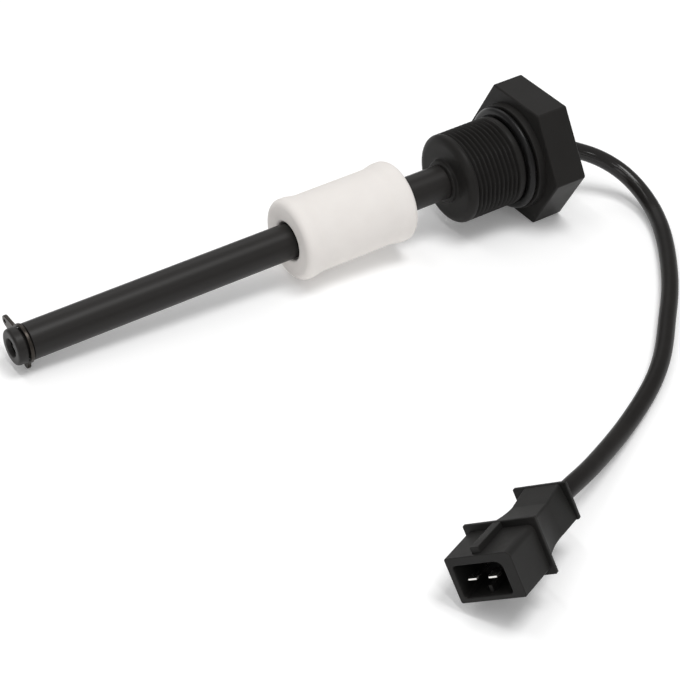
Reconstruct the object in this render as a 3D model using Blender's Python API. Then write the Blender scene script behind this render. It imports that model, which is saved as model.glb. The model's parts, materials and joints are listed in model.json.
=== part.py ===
# Coolant level sensor, lying on a surface.
# A float with a ring magnet slides on a hollow stem below a threaded hexagon plug. A reed switch on a
# narrow board inside the stem closes when the magnet reaches it. A short cable leads to a two-pin connector.
# The sensor's own axis is X, from the tip to the head, with 0 at the front face of the hexagon.
# The connector's own frame has X to its right, Y from its mouth to its cable and Z up.
import math

import bmesh
import bpy
import numpy as np
from mathutils import Matrix, Vector

# Fits
SEAT_GAP = 0.0003
STOP_GAP = 0.0001

# Threaded plug
HEX_ACROSS_FLATS = 0.0360
HEX_LENGTH = 0.0100
HEX_CORNER_RADIUS = 0.0008
HEX_EDGE = 0.0005
COLLAR_RADIUS = 0.0154
COLLAR_LENGTH = 0.0022
COLLAR_SEAT_RADIUS = 0.0144
COLLAR_RELIEF = 0.0003
RING_GROOVE_RADIUS = 0.0118
RING_GROOVE_WIDTH = 0.0030
THREAD_RADIUS = 0.0130
THREAD_END = 0.0220
NOSE_LENGTH = 0.0021
NOSE_FACE_RADIUS = 0.0106
BOSS_RADIUS = 0.0063
BOSS_LENGTH = 0.0012
CUP_RADIUS = 0.0080
CUP_FLOOR = 0.0020

# Sealing ring
RING_SECTION_RADIUS = 0.00105

# Stem
STEM_RADIUS = 0.0050
STEM_BORE_RADIUS = 0.0032
STEM_REACH = 0.1596
STEM_FLANGE_RADIUS = 0.0066
STEM_FLANGE_LENGTH = 0.0012
TIP_EDGE = 0.0003
TIP_LIP_RADIUS = 0.0025
TIP_LIP_LENGTH = 0.0012
TIP_PLUG_LENGTH = 0.0050

# Retaining clip
TIP_BEYOND_CLIP = 0.00365
CLIP_THICKNESS = 0.0010
CLIP_GROOVE_RADIUS = 0.0042
CLIP_GROOVE_SLACK = 0.0005
CLIP_OUTER_RADIUS = 0.0054
EAR_BASE_WIDTH = 0.0044
LONG_EAR_REACH = 0.0109
LONG_EAR_WIDTH = 0.0024
LONG_EAR_ANGLE = math.radians(8)
SHORT_EAR_REACH = 0.0074
SHORT_EAR_WIDTH = 0.0030
SHORT_EAR_ANGLE = math.radians(263)

# Float and its magnet
FLOAT_WAIST_RADIUS = 0.0110
FLOAT_RIM_RADIUS = 0.0116
FLOAT_RIM_WIDTH = 0.0030
FLOAT_RIM_BLEND = 0.0040
FLOAT_EDGE_RADIUS = 0.0020
FLOAT_LENGTH = 0.0359
FLOAT_FRONT = 0.0763
FLOAT_CLEARANCE = 0.0005
FLOAT_BORE_EDGE = 0.0008
MAGNET_LENGTH = 0.0100
MAGNET_WALL = 0.0022

# Board, switch and cores inside the stem
BOARD_THICKNESS = 0.0008
BOARD_TOP = -0.0006
BOARD_CLEARANCE = 0.0040
BOARD_LENGTH = 0.0290
REED_RADIUS = 0.0011
REED_LENGTH = 0.0140
LEAD_RADIUS = 0.0003
LEAD_REACH = 0.0022
CORE_RADIUS = 0.0006
CORE_SPREAD = 0.0013
CORE_PAD_LENGTH = 0.0030

# Filling and bush at the back of the head
POTTING_RECESS = 0.0046
BUSH_RADIUS = 0.0040
BUSH_LENGTH = 0.0021
BUSH_STAND_OUT = 0.0012

# Cable
CABLE_RADIUS = 0.0024
CABLE_END_IN_HEAD = 0.0042
HEAD_STRAIGHT = 0.0006
ENTRY_STRAIGHT = 0.0040
CABLE_POINT_SPACING = 0.0060
CABLE_ROUTE = (
    (0.0879, -0.0005, 0.0175),
    (0.0942, -0.0020, 0.0149),
    (0.0996, -0.0043, 0.0127),
    (0.1040, -0.0078, 0.0104),
    (0.1067, -0.0120, 0.0082),
    (0.1080, -0.0182, 0.0056),
    (0.1070, -0.0255, 0.0036),
    (0.1031, -0.0344, 0.0027),
    (0.0943, -0.0477, 0.0026),
    (0.0847, -0.0597, 0.0027),
    (0.0747, -0.0703, 0.0026),
    (0.0646, -0.0806, 0.0026),
    (0.0533, -0.0898, 0.0026),
    (0.0426, -0.0966, 0.0027),
    (0.0325, -0.1025, 0.0035),
    (0.0205, -0.1092, 0.0054),
    (0.0109, -0.1143, 0.0073),
)

# Connector housing
CONNECTOR_PLACE = (-0.0361, -0.13675)
CONNECTOR_HEADING = math.radians(26.5)
CONNECTOR_PITCH = math.radians(-4.2)
CONNECTOR_ROLL = math.radians(31.0)
SHROUD_LEFT = -0.0088
SHROUD_RIGHT = 0.0085
SHROUD_HEIGHT = 0.0114
SHROUD_DEPTH = 0.0124
SHROUD_CORNER_RADIUS = 0.0005
MOUTH_LEFT_WALL = 0.0018
MOUTH_RIGHT_WALL = 0.0031
MOUTH_TOP_WALL = 0.0021
MOUTH_BOTTOM_WALL = 0.0012
MOUTH_DEPTH = 0.0108
MOUTH_CORNER_RADIUS = 0.0008
MOUTH_WIDE_CORNER_RADIUS = 0.0020
KEY_START = 0.0020
KEY_WIDTH = 0.0010
KEY_HEIGHT = 0.0017
LATCH_RIB_OFFSET = -0.0007
LATCH_RIB_WIDTH = 0.0023
LATCH_RIB_START = 0.0010
FRONT_FLANGE_LEFT = -0.0102
FRONT_FLANGE_RIGHT = 0.0096
FRONT_FLANGE_TOP = 0.0074
FRONT_FLANGE_BOTTOM = -0.0074
FRONT_FLANGE_THICKNESS = 0.0010
SHOULDER_HALF_WIDTH = 0.0083
SHOULDER_TOP = 0.0056
SHOULDER_BOTTOM = -0.0054
NECK_START = 0.0250
NECK_LEFT = -0.0044
NECK_RIGHT = 0.0056
NECK_TOP = 0.0046
NECK_BOTTOM = -0.0040
NECK_END_TOP = 0.0052
REAR_FLANGE_START = 0.0322
REAR_FLANGE_THICKNESS = 0.0010
REAR_FLANGE_LEFT = -0.0075
REAR_FLANGE_RIGHT = 0.0072
REAR_FLANGE_TOP = 0.0058
REAR_FLANGE_BOTTOM = -0.0041
BODY_CORNER_RADIUS = 0.0004

# Inside the connector
TAB_CENTRE = -0.0013
TAB_HEIGHT = -0.0003
TAB_PITCH = 0.0055
TAB_WIDTH = 0.0028
TAB_THICKNESS = 0.0008
TAB_TIP = 0.0005
TAB_TAPER = 0.0008
TAB_TIP_WIDTH = 0.0022
TAB_TIP_THICKNESS = 0.0004
PARTITION_THICKNESS = 0.0015
BARREL_RADIUS = 0.00135
BARREL_LENGTH = 0.0045
BARREL_BORE_DEPTH = 0.0028
CHAMBER_START = 0.0175
CHAMBER_END = 0.0225
CHAMBER_MARGIN = 0.0008
CHAMBER_TOP = 0.0020
CHAMBER_BOTTOM = -0.0024
CABLE_ENTRY_OFFSET = 0.0005
CABLE_ENTRY_HEIGHT = -0.0003
TAIL_SPREAD = 0.0011
SEAL_RADIUS = 0.0032
SEAL_SEAT_DEPTH = 0.0009

# Facets
BIG_ROUND = 48
STEM_ROUND = 32
SMALL_ROUND = 16
CORNER_STEPS = 2
FLARE_STEPS = 5

# Places that follow from the sizes
RING_STATION = -(COLLAR_LENGTH + RING_GROOVE_WIDTH / 2)
CLIP_STATION = STEM_REACH - TIP_BEYOND_CLIP
RING_RADIUS = RING_GROOVE_RADIUS + SEAT_GAP + RING_SECTION_RADIUS
NOSE_FACE = -(THREAD_END + NOSE_LENGTH)
BOSS_FACE = NOSE_FACE - BOSS_LENGTH
STEM_HOLE_RADIUS = STEM_RADIUS + SEAT_GAP
CABLE_HOLE_RADIUS = CABLE_RADIUS + SEAT_GAP
FLOAT_BORE_RADIUS = STEM_RADIUS + FLOAT_CLEARANCE
REED_STATION = -(CLIP_STATION - CLIP_THICKNESS / 2 - FLOAT_LENGTH / 2)
BOARD_BOTTOM = BOARD_TOP - BOARD_THICKNESS
BOARD_HALF_WIDTH = math.sqrt((STEM_BORE_RADIUS - SEAT_GAP) ** 2 - BOARD_BOTTOM ** 2)
TIP_PLUG_FACE = -STEM_REACH + TIP_LIP_LENGTH + SEAT_GAP
BOARD_START = TIP_PLUG_FACE + TIP_PLUG_LENGTH + BOARD_CLEARANCE
BOARD_END = BOARD_START + BOARD_LENGTH
REED_HEIGHT = BOARD_TOP + SEAT_GAP + REED_RADIUS
CORE_HEIGHT = BOARD_TOP + SEAT_GAP + CORE_RADIUS
MOUTH_LEFT = SHROUD_LEFT + MOUTH_LEFT_WALL
MOUTH_RIGHT = SHROUD_RIGHT - MOUTH_RIGHT_WALL
MOUTH_TOP = SHROUD_HEIGHT / 2 - MOUTH_TOP_WALL
MOUTH_BOTTOM = -SHROUD_HEIGHT / 2 + MOUTH_BOTTOM_WALL
CHANNEL_RADIUS = BARREL_RADIUS + SEAT_GAP
BARREL_START = MOUTH_DEPTH + PARTITION_THICKNESS + SEAT_GAP
BARREL_END = BARREL_START + BARREL_LENGTH
CONNECTOR_END = REAR_FLANGE_START + REAR_FLANGE_THICKNESS

# The sensor lies on the hexagon's lower front edge and the clip's short ear, which tilts it tip down
SHORT_EAR_DROP = (SHORT_EAR_REACH - SHORT_EAR_WIDTH / 2) * -math.sin(SHORT_EAR_ANGLE) + SHORT_EAR_WIDTH / 2
TILT = math.atan2(HEX_ACROSS_FLATS / 2 - SHORT_EAR_DROP, CLIP_STATION + CLIP_THICKNESS / 2 + HEX_EDGE)
AXIS_HEIGHT = HEX_ACROSS_FLATS / 2 * math.cos(TILT) - HEX_EDGE * math.sin(TILT)
LOW_X = -STEM_REACH * math.cos(TILT) - (STEM_RADIUS - TIP_EDGE) * math.sin(TILT)
HIGH_X = HEX_LENGTH * math.cos(TILT) + (HEX_ACROSS_FLATS / 2 - HEX_EDGE) * math.sin(TILT)
AXIS_X = -(LOW_X + HIGH_X) / 2


def clear_scene():
    for thing in list(bpy.data.objects):
        bpy.data.objects.remove(thing, do_unlink=True)


def material(name, colour, roughness, metallic=0.0):
    finish = bpy.data.materials.new(name)
    finish.use_nodes = True
    shader = finish.node_tree.nodes["Principled BSDF"]
    shader.inputs["Base Color"].default_value = (*colour, 1.0)
    shader.inputs["Roughness"].default_value = roughness
    shader.inputs["Metallic"].default_value = metallic
    finish.diffuse_color = (*colour, 1.0)
    return finish


def make_finishes():
    return {
        "plug": material("moulded_plug_plastic", (0.022, 0.022, 0.021), 0.48),
        "stem": material("moulded_stem_plastic", (0.026, 0.026, 0.024), 0.42),
        "rubber": material("black_rubber", (0.015, 0.015, 0.015), 0.60),
        "steel": material("dark_spring_steel", (0.34, 0.33, 0.31), 0.32, 1.0),
        "float": material("closed_cell_float_plastic", (0.80, 0.78, 0.76), 0.55),
        "magnet": material("ferrite", (0.055, 0.055, 0.060), 0.55),
        "glass": material("switch_glass", (0.55, 0.75, 0.62), 0.08),
        "tin": material("tinned_metal", (0.72, 0.71, 0.69), 0.28, 1.0),
        "board": material("board_laminate", (0.06, 0.22, 0.09), 0.50),
        "core_a": material("brown_core_insulation", (0.16, 0.07, 0.035), 0.45),
        "core_b": material("blue_core_insulation", (0.03, 0.08, 0.30), 0.45),
        "potting": material("potting_resin", (0.012, 0.012, 0.012), 0.25),
        "jacket": material("cable_jacket", (0.018, 0.018, 0.018), 0.35),
        "housing": material("connector_plastic", (0.026, 0.026, 0.025), 0.50),
    }


def tilted_axis():
    """The sensor's axis as an empty: every piece of the sensor hangs on it."""
    axis = bpy.data.objects.new("sensor_axis", None)
    axis.location = (AXIS_X, 0.0, AXIS_HEIGHT)
    axis.rotation_euler = (0.0, -TILT, 0.0)
    bpy.context.collection.objects.link(axis)
    return axis


def object_from(bm, name, finish, parent):
    mesh = bpy.data.meshes.new(name)
    bmesh.ops.recalc_face_normals(bm, faces=bm.faces)
    bm.to_mesh(mesh)
    bm.free()
    mesh.shade_smooth()
    mesh.set_sharp_from_angle(angle=math.radians(35))
    if finish:
        mesh.materials.append(finish)
    piece = bpy.data.objects.new(name, mesh)
    piece.parent = parent
    bpy.context.collection.objects.link(piece)
    return piece


def turned(name, profile, steps, finish, parent):
    """Spins a profile of (x, radius) points about X; one that starts on the axis is solid, another is a ring."""
    bm = bmesh.new()
    verts = [bm.verts.new((x, 0.0, radius)) for x, radius in profile]
    pairs = list(zip(verts, verts[1:]))
    if profile[0][1] > 0.0:
        pairs.append((verts[-1], verts[0]))
    edges = [bm.edges.new(pair) for pair in pairs]
    bmesh.ops.spin(
        bm, geom=verts + edges, cent=(0, 0, 0), axis=(1, 0, 0), angle=math.tau, steps=steps, use_merge=True
    )
    bmesh.ops.remove_doubles(bm, verts=bm.verts, dist=1e-6)
    return object_from(bm, name, finish, parent)


def lofted(name, sections, finish, parent):
    """Joins outlines of equal point counts, each a list of 3-D points, into one closed solid."""
    bm = bmesh.new()
    rings = [[bm.verts.new(point) for point in section] for section in sections]
    for near, far in zip(rings, rings[1:]):
        for i in range(len(near)):
            j = (i + 1) % len(near)
            bm.faces.new((near[i], near[j], far[j], far[i]))
    bm.faces.new(rings[0])
    bm.faces.new(rings[-1])
    return object_from(bm, name, finish, parent)


def along_x(outline, x):
    return [(x, across, up) for across, up in outline]


def along_y(outline, y):
    return [(across, y, up) for across, up in outline]


def arc(centre, radius, start, end, steps):
    angles = [start + (end - start) * i / steps for i in range(steps + 1)]
    return [(centre[0] + radius * math.cos(a), centre[1] + radius * math.sin(a)) for a in angles]


def rounded_box(left, right, bottom, top, radius, steps=CORNER_STEPS, upper_right=None):
    """A rounded rectangle; its upper right corner may have a radius of its own."""
    wide = upper_right or radius
    corners = (
        (right - radius, bottom + radius, radius, -90),
        (right - wide, top - wide, wide, 0),
        (left + radius, top - radius, radius, 90),
        (left + radius, bottom + radius, radius, 180),
    )
    outline = []
    for across, up, size, start in corners:
        outline += arc((across, up), size, math.radians(start), math.radians(start + 90), steps)
    return outline


def helper(piece):
    piece.hide_render = True
    piece.display_type = "WIRE"
    return piece


def cut(piece, tool, operation="DIFFERENCE"):
    helper(tool)
    step = piece.modifiers.new(operation.lower(), "BOOLEAN")
    step.operation = operation
    step.object = tool
    step.solver = "EXACT"


def join(piece, tool):
    cut(piece, tool, "UNION")


def rod(name, points, radius, finish, parent, resolution=2):
    """A round wire along a list of points, as a bevelled curve with closed ends."""
    curve = bpy.data.curves.new(name, "CURVE")
    curve.dimensions = "3D"
    curve.bevel_depth = radius
    curve.bevel_resolution = resolution
    curve.use_fill_caps = True
    spline = curve.splines.new("POLY")
    spline.points.add(len(points) - 1)
    for slot, point in zip(spline.points, points):
        slot.co = (*point, 1.0)
    curve.materials.append(finish)
    piece = bpy.data.objects.new(name, curve)
    piece.parent = parent
    bpy.context.collection.objects.link(piece)
    return piece


def hexagon():
    """The head's outline with small rounded corners and a flat at the top and bottom."""
    corner_distance = (HEX_ACROSS_FLATS / 2 - HEX_CORNER_RADIUS) / math.cos(math.radians(30))
    outline = []
    for i in range(6):
        angle = math.radians(60 * i)
        centre = (corner_distance * math.cos(angle), corner_distance * math.sin(angle))
        outline += arc(centre, HEX_CORNER_RADIUS, angle - math.radians(30), angle + math.radians(30), 2)
    return outline


def plug_body_profile():
    """The turned part of the plug: collar, ring groove, threaded body, rounded nose and the stem's boss."""
    groove_start = -COLLAR_LENGTH
    groove_end = groove_start - RING_GROOVE_WIDTH
    edge = 0.0003
    nose_round = arc((NOSE_FACE + NOSE_LENGTH, NOSE_FACE_RADIUS), 1.0, math.radians(90), math.radians(180), 4)
    drop = THREAD_RADIUS - NOSE_FACE_RADIUS
    nose = [
        (
            -THREAD_END + (x - NOSE_FACE - NOSE_LENGTH) * NOSE_LENGTH,
            NOSE_FACE_RADIUS + (r - NOSE_FACE_RADIUS) * drop,
        )
        for x, r in nose_round
    ]
    return [
        (HEX_LENGTH / 2, 0.0),
        (HEX_LENGTH / 2, COLLAR_RADIUS),
        (groove_start + edge, COLLAR_RADIUS),
        (groove_start, COLLAR_RADIUS - edge),
        (groove_start, COLLAR_SEAT_RADIUS),
        (groove_start + COLLAR_RELIEF, RING_GROOVE_RADIUS),
        (groove_end, RING_GROOVE_RADIUS),
        (groove_end, THREAD_RADIUS - edge),
        (groove_end - edge, THREAD_RADIUS),
        *nose,
        (NOSE_FACE, BOSS_RADIUS),
        (BOSS_FACE + edge, BOSS_RADIUS),
        (BOSS_FACE, BOSS_RADIUS - edge),
        (BOSS_FACE, 0.0),
    ]


def threaded_plug(finish, axis):
    outline = hexagon()
    plug = lofted("threaded_plug", [along_x(outline, 0.0), along_x(outline, HEX_LENGTH)], finish, axis)
    edges = plug.modifiers.new("edges", "BEVEL")
    edges.width = HEX_EDGE
    edges.segments = 1
    edges.limit_method = "ANGLE"
    edges.angle_limit = math.radians(60)
    join(plug, turned("plug_body", plug_body_profile(), BIG_ROUND, finish, axis))
    past_ends = 0.001
    bore = [
        (BOSS_FACE - past_ends, 0.0),
        (BOSS_FACE - past_ends, STEM_HOLE_RADIUS),
        (CUP_FLOOR, STEM_HOLE_RADIUS),
        (CUP_FLOOR, CUP_RADIUS),
        (HEX_LENGTH + past_ends, CUP_RADIUS),
        (HEX_LENGTH + past_ends, 0.0),
    ]
    cut(plug, turned("plug_bore", bore, BIG_ROUND, finish, axis))
    return plug


def sealing_ring(finish, axis):
    section = arc((RING_STATION, RING_RADIUS), RING_SECTION_RADIUS, 0.0, math.tau, 10)[:-1]
    return turned("sealing_ring", section, BIG_ROUND, finish, axis)


def stem_tube(finish, axis):
    """The tube drops in from the back of the plug until its flange seats; its mouth has a lip for the tip plug."""
    groove_near = -CLIP_STATION + CLIP_THICKNESS / 2 + SEAT_GAP
    groove_far = -CLIP_STATION - CLIP_THICKNESS / 2 - CLIP_GROOVE_SLACK
    lip_end = -STEM_REACH + TIP_LIP_LENGTH
    flange_start = CUP_FLOOR + SEAT_GAP
    flange_end = flange_start + STEM_FLANGE_LENGTH
    profile = [
        (lip_end, STEM_BORE_RADIUS),
        (lip_end, TIP_LIP_RADIUS),
        (-STEM_REACH, TIP_LIP_RADIUS),
        (-STEM_REACH, STEM_RADIUS - TIP_EDGE),
        (-STEM_REACH + TIP_EDGE, STEM_RADIUS),
        (groove_far, STEM_RADIUS),
        (groove_far, CLIP_GROOVE_RADIUS),
        (groove_near, CLIP_GROOVE_RADIUS),
        (groove_near, STEM_RADIUS),
        (flange_start, STEM_RADIUS),
        (flange_start, STEM_FLANGE_RADIUS),
        (flange_end, STEM_FLANGE_RADIUS),
        (flange_end, STEM_BORE_RADIUS),
    ]
    return turned("stem_tube", profile, STEM_ROUND, finish, axis)


def tip_plug(finish, axis):
    radius = STEM_BORE_RADIUS - SEAT_GAP
    inner_face = TIP_PLUG_FACE + TIP_PLUG_LENGTH
    profile = [
        (TIP_PLUG_FACE, 0.0),
        (TIP_PLUG_FACE, radius - TIP_EDGE),
        (TIP_PLUG_FACE + TIP_EDGE, radius),
        (inner_face, radius),
        (inner_face, 0.0),
    ]
    return turned("tip_plug", profile, STEM_ROUND, finish, axis)


def ear(direction, reach, width, steps=4):
    """The rounded end of an ear that stands out along a direction, counter-clockwise."""
    centre = reach - width / 2
    place = (centre * math.cos(direction), centre * math.sin(direction))
    return arc(place, width / 2, direction - math.pi / 2, direction + math.pi / 2, steps)


def retaining_clip(finish, axis):
    """A flat open ring in the stem's groove, with two tapered ears: a long one to the far side, a short one below."""
    inner = CLIP_GROOVE_RADIUS + SEAT_GAP
    base = math.asin(EAR_BASE_WIDTH / 2 / CLIP_OUTER_RADIUS)
    gap_start = SHORT_EAR_ANGLE + base
    gap_end = math.tau + LONG_EAR_ANGLE - base
    outline = ear(LONG_EAR_ANGLE, LONG_EAR_REACH, LONG_EAR_WIDTH)
    outline += arc((0.0, 0.0), CLIP_OUTER_RADIUS, LONG_EAR_ANGLE + base, SHORT_EAR_ANGLE - base, 22)
    outline += ear(SHORT_EAR_ANGLE, SHORT_EAR_REACH, SHORT_EAR_WIDTH)
    outline.append((CLIP_OUTER_RADIUS * math.cos(gap_start), CLIP_OUTER_RADIUS * math.sin(gap_start)))
    outline += arc((0.0, 0.0), inner, gap_start, gap_end - math.tau, 26)
    outline.append((CLIP_OUTER_RADIUS * math.cos(gap_end), CLIP_OUTER_RADIUS * math.sin(gap_end)))
    near = -CLIP_STATION - CLIP_THICKNESS / 2
    far = -CLIP_STATION + CLIP_THICKNESS / 2
    return lofted("retaining_clip", [along_x(outline, near), along_x(outline, far)], finish, axis)


def float_profile():
    """Half of the float's section from its middle outwards, mirrored: rims, rounded ends, bore and magnet groove."""
    half = FLOAT_LENGTH / 2
    pocket = MAGNET_LENGTH / 2 + SEAT_GAP
    pocket_radius = FLOAT_BORE_RADIUS + SEAT_GAP + MAGNET_WALL + SEAT_GAP
    rim_end = arc(
        (half - FLOAT_EDGE_RADIUS, FLOAT_RIM_RADIUS - FLOAT_EDGE_RADIUS),
        FLOAT_EDGE_RADIUS, math.radians(90), 0.0, 4,
    )
    blend_start = half - FLOAT_RIM_WIDTH - FLOAT_RIM_BLEND
    rim_rise = FLOAT_RIM_RADIUS - FLOAT_WAIST_RADIUS
    blend = []
    for share in (0.0, 0.3, 0.7, 1.0):
        ease = share * share * (3 - 2 * share)
        blend.append((blend_start + share * FLOAT_RIM_BLEND, FLOAT_WAIST_RADIUS + ease * rim_rise))
    right = [
        *blend,
        *rim_end,
        (half, FLOAT_BORE_RADIUS + FLOAT_BORE_EDGE),
        (half - FLOAT_BORE_EDGE, FLOAT_BORE_RADIUS),
        (pocket, FLOAT_BORE_RADIUS),
        (pocket, pocket_radius),
    ]
    left = [(-x, radius) for x, radius in reversed(right)]
    return right + left


def float_pieces(finishes, axis):
    """The float's origin is the middle of its length, on the stem's axis, along which it slides."""
    middle = -FLOAT_FRONT + FLOAT_LENGTH / 2
    body = turned("float_body", float_profile(), BIG_ROUND, finishes["float"], axis)
    inner = FLOAT_BORE_RADIUS + SEAT_GAP
    half = MAGNET_LENGTH / 2
    ring = [(-half, inner), (-half, inner + MAGNET_WALL), (half, inner + MAGNET_WALL), (half, inner)]
    magnet = turned("float_magnet", ring, BIG_ROUND, finishes["magnet"], axis)
    for piece in (body, magnet):
        piece.location = (middle, 0.0, 0.0)


def circuit_strip(finish, axis):
    outline = rounded_box(-BOARD_HALF_WIDTH, BOARD_HALF_WIDTH, BOARD_BOTTOM, BOARD_TOP, 0.0001, 1)
    sections = [along_x(outline, BOARD_START), along_x(outline, BOARD_END)]
    return lofted("circuit_strip", sections, finish, axis)


def reed_switch(finishes, axis):
    """A glass capsule with rounded ends lying on the board, and its two leads bent down to the board."""
    half = REED_LENGTH / 2
    tip_radius = LEAD_RADIUS + SEAT_GAP
    right = [(half - REED_RADIUS, REED_RADIUS), (half - REED_RADIUS / 3, REED_RADIUS * 0.8), (half, tip_radius)]
    profile = [(-half, 0.0)] + [(-x, r) for x, r in reversed(right)] + right + [(half, 0.0)]
    capsule = turned("reed_switch", profile, SMALL_ROUND, finishes["glass"], axis)
    capsule.location = (REED_STATION, 0.0, REED_HEIGHT)
    for number, way in ((1, -1), (2, 1)):
        start = REED_STATION + way * (half + SEAT_GAP)
        bend = start + way * LEAD_REACH
        route = [
            (start, 0.0, REED_HEIGHT),
            (bend, 0.0, REED_HEIGHT),
            (bend + way * LEAD_RADIUS * 2, 0.0, REED_HEIGHT - LEAD_RADIUS * 1.5),
            (bend + way * LEAD_RADIUS * 2.5, 0.0, BOARD_TOP + SEAT_GAP),
        ]
        rod(f"reed_lead_{number}", route, LEAD_RADIUS, finishes["tin"], axis, 1)


def core_wires(finishes, axis):
    """The cable's two cores, side by side down the stem to the board's pads."""
    start = BOARD_END - CORE_PAD_LENGTH
    end = CABLE_END_IN_HEAD - SEAT_GAP
    for number, side, finish in ((1, -1, "core_a"), (2, 1, "core_b")):
        route = [(start, side * CORE_SPREAD, CORE_HEIGHT), (end, side * CORE_SPREAD, CORE_HEIGHT)]
        rod(f"core_wire_{number}", route, CORE_RADIUS, finishes[finish], axis)


def head_filling(finishes, axis):
    """Potting in the cup behind the stem's flange, and the rubber bush round the cable."""
    start = CUP_FLOOR + SEAT_GAP + STEM_FLANGE_LENGTH + SEAT_GAP
    end = HEX_LENGTH - POTTING_RECESS
    bush_end = end + BUSH_STAND_OUT
    bush_start = bush_end - BUSH_LENGTH
    outer = CUP_RADIUS - SEAT_GAP
    potting = [
        (start, CABLE_HOLE_RADIUS),
        (start, outer),
        (end, outer),
        (end, BUSH_RADIUS + SEAT_GAP),
        (bush_start - SEAT_GAP, BUSH_RADIUS + SEAT_GAP),
        (bush_start - SEAT_GAP, CABLE_HOLE_RADIUS),
    ]
    turned("potting_compound", potting, BIG_ROUND, finishes["potting"], axis)
    edge = (BUSH_RADIUS - CABLE_HOLE_RADIUS) / 3
    bush = [
        (bush_start, CABLE_HOLE_RADIUS),
        (bush_start, BUSH_RADIUS),
        (bush_end - edge, BUSH_RADIUS),
        (bush_end, BUSH_RADIUS - edge),
        (bush_end, CABLE_HOLE_RADIUS),
    ]
    turned("cable_grommet", bush, STEM_ROUND, finishes["rubber"], axis)


def connector_matrix():
    """Heading, pitch and roll of the connector; its lowest corner touches the surface."""
    along = Vector((
        math.cos(CONNECTOR_HEADING) * math.cos(CONNECTOR_PITCH),
        math.sin(CONNECTOR_HEADING) * math.cos(CONNECTOR_PITCH),
        math.sin(CONNECTOR_PITCH),
    ))
    level = Vector((math.sin(CONNECTOR_HEADING), -math.cos(CONNECTOR_HEADING), 0.0))
    right = level * math.cos(CONNECTOR_ROLL) + level.cross(along) * math.sin(CONNECTOR_ROLL)
    up = right.cross(along)
    turn = Matrix((right, along, up)).transposed()
    corner = BODY_CORNER_RADIUS
    low_corners = (
        (FRONT_FLANGE_LEFT, FRONT_FLANGE_BOTTOM, SHROUD_DEPTH + FRONT_FLANGE_THICKNESS, corner),
        (REAR_FLANGE_LEFT, REAR_FLANGE_BOTTOM, CONNECTOR_END, corner),
        (SHROUD_LEFT, -SHROUD_HEIGHT / 2, 0.0, SHROUD_CORNER_RADIUS),
    )
    spread = right.z ** 2 + up.z ** 2
    heights = []
    for across, height, depth, radius in low_corners:
        centre = turn @ Vector((across + radius, depth, height + radius))
        heights.append(centre.z - radius * math.sqrt(spread))
    return Matrix.Translation((*CONNECTOR_PLACE, -min(heights))) @ turn.to_4x4()


def connector_axis():
    axis = bpy.data.objects.new("connector_axis", None)
    axis.matrix_world = connector_matrix()
    bpy.context.collection.objects.link(axis)
    return axis


def block(name, outline, start, end, finish, parent):
    return lofted(name, [along_y(outline, start), along_y(outline, end)], finish, parent)


def bar(name, place, radius, start, end, steps, finish, parent):
    circle = arc(place, radius, 0.0, math.tau, steps)[:-1]
    return block(name, circle, start, end, finish, parent)


def mouth_outline():
    return rounded_box(
        MOUTH_LEFT, MOUTH_RIGHT, MOUTH_BOTTOM, MOUTH_TOP, MOUTH_CORNER_RADIUS,
        CORNER_STEPS + 1, MOUTH_WIDE_CORNER_RADIUS,
    )


def connector_shell(finish, axis):
    """Shroud, latch rib, front flange, shoulder flared down to the neck, and rear flange, joined to one moulding."""
    height = SHROUD_HEIGHT / 2
    middle = SHROUD_DEPTH + FRONT_FLANGE_THICKNESS / 2
    rear_middle = REAR_FLANGE_START + REAR_FLANGE_THICKNESS / 2
    shroud = rounded_box(SHROUD_LEFT, SHROUD_RIGHT, -height, height, SHROUD_CORNER_RADIUS)
    shell = block("connector_housing", shroud, 0.0, middle, finish, axis)
    flange = rounded_box(
        FRONT_FLANGE_LEFT, FRONT_FLANGE_RIGHT, FRONT_FLANGE_BOTTOM, FRONT_FLANGE_TOP, BODY_CORNER_RADIUS
    )
    flange_end = SHROUD_DEPTH + FRONT_FLANGE_THICKNESS
    join(shell, block("front_flange", flange, SHROUD_DEPTH, flange_end, finish, axis))
    rib_left = LATCH_RIB_OFFSET - LATCH_RIB_WIDTH / 2
    rib_right = LATCH_RIB_OFFSET + LATCH_RIB_WIDTH / 2
    rib_base = height - MOUTH_TOP_WALL / 2
    rib_top = FRONT_FLANGE_TOP - STOP_GAP
    rib = [(rib_left, rib_base), (rib_right, rib_base), (rib_right, rib_top), (rib_left, rib_top)]
    join(shell, block("latch_rib", rib, LATCH_RIB_START, middle, finish, axis))
    sections = []
    for step in range(FLARE_STEPS + 1):
        share = step / FLARE_STEPS
        left_over = (1 - share) ** 2
        left = NECK_LEFT - (SHOULDER_HALF_WIDTH + NECK_LEFT) * left_over
        right = NECK_RIGHT + (SHOULDER_HALF_WIDTH - NECK_RIGHT) * left_over
        top = NECK_TOP + (SHOULDER_TOP - NECK_TOP) * left_over
        bottom = NECK_BOTTOM + (SHOULDER_BOTTOM - NECK_BOTTOM) * left_over
        outline = rounded_box(left, right, bottom, top, BODY_CORNER_RADIUS)
        sections.append(along_y(outline, middle + (NECK_START - middle) * share))
    neck_end = rounded_box(NECK_LEFT, NECK_RIGHT, NECK_BOTTOM, NECK_END_TOP, BODY_CORNER_RADIUS)
    sections.append(along_y(neck_end, rear_middle))
    join(shell, lofted("shoulder_and_neck", sections, finish, axis))
    rear = rounded_box(
        REAR_FLANGE_LEFT, REAR_FLANGE_RIGHT, REAR_FLANGE_BOTTOM, REAR_FLANGE_TOP, BODY_CORNER_RADIUS
    )
    join(shell, block("rear_flange", rear, REAR_FLANGE_START, CONNECTOR_END, finish, axis))
    return shell


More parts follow.
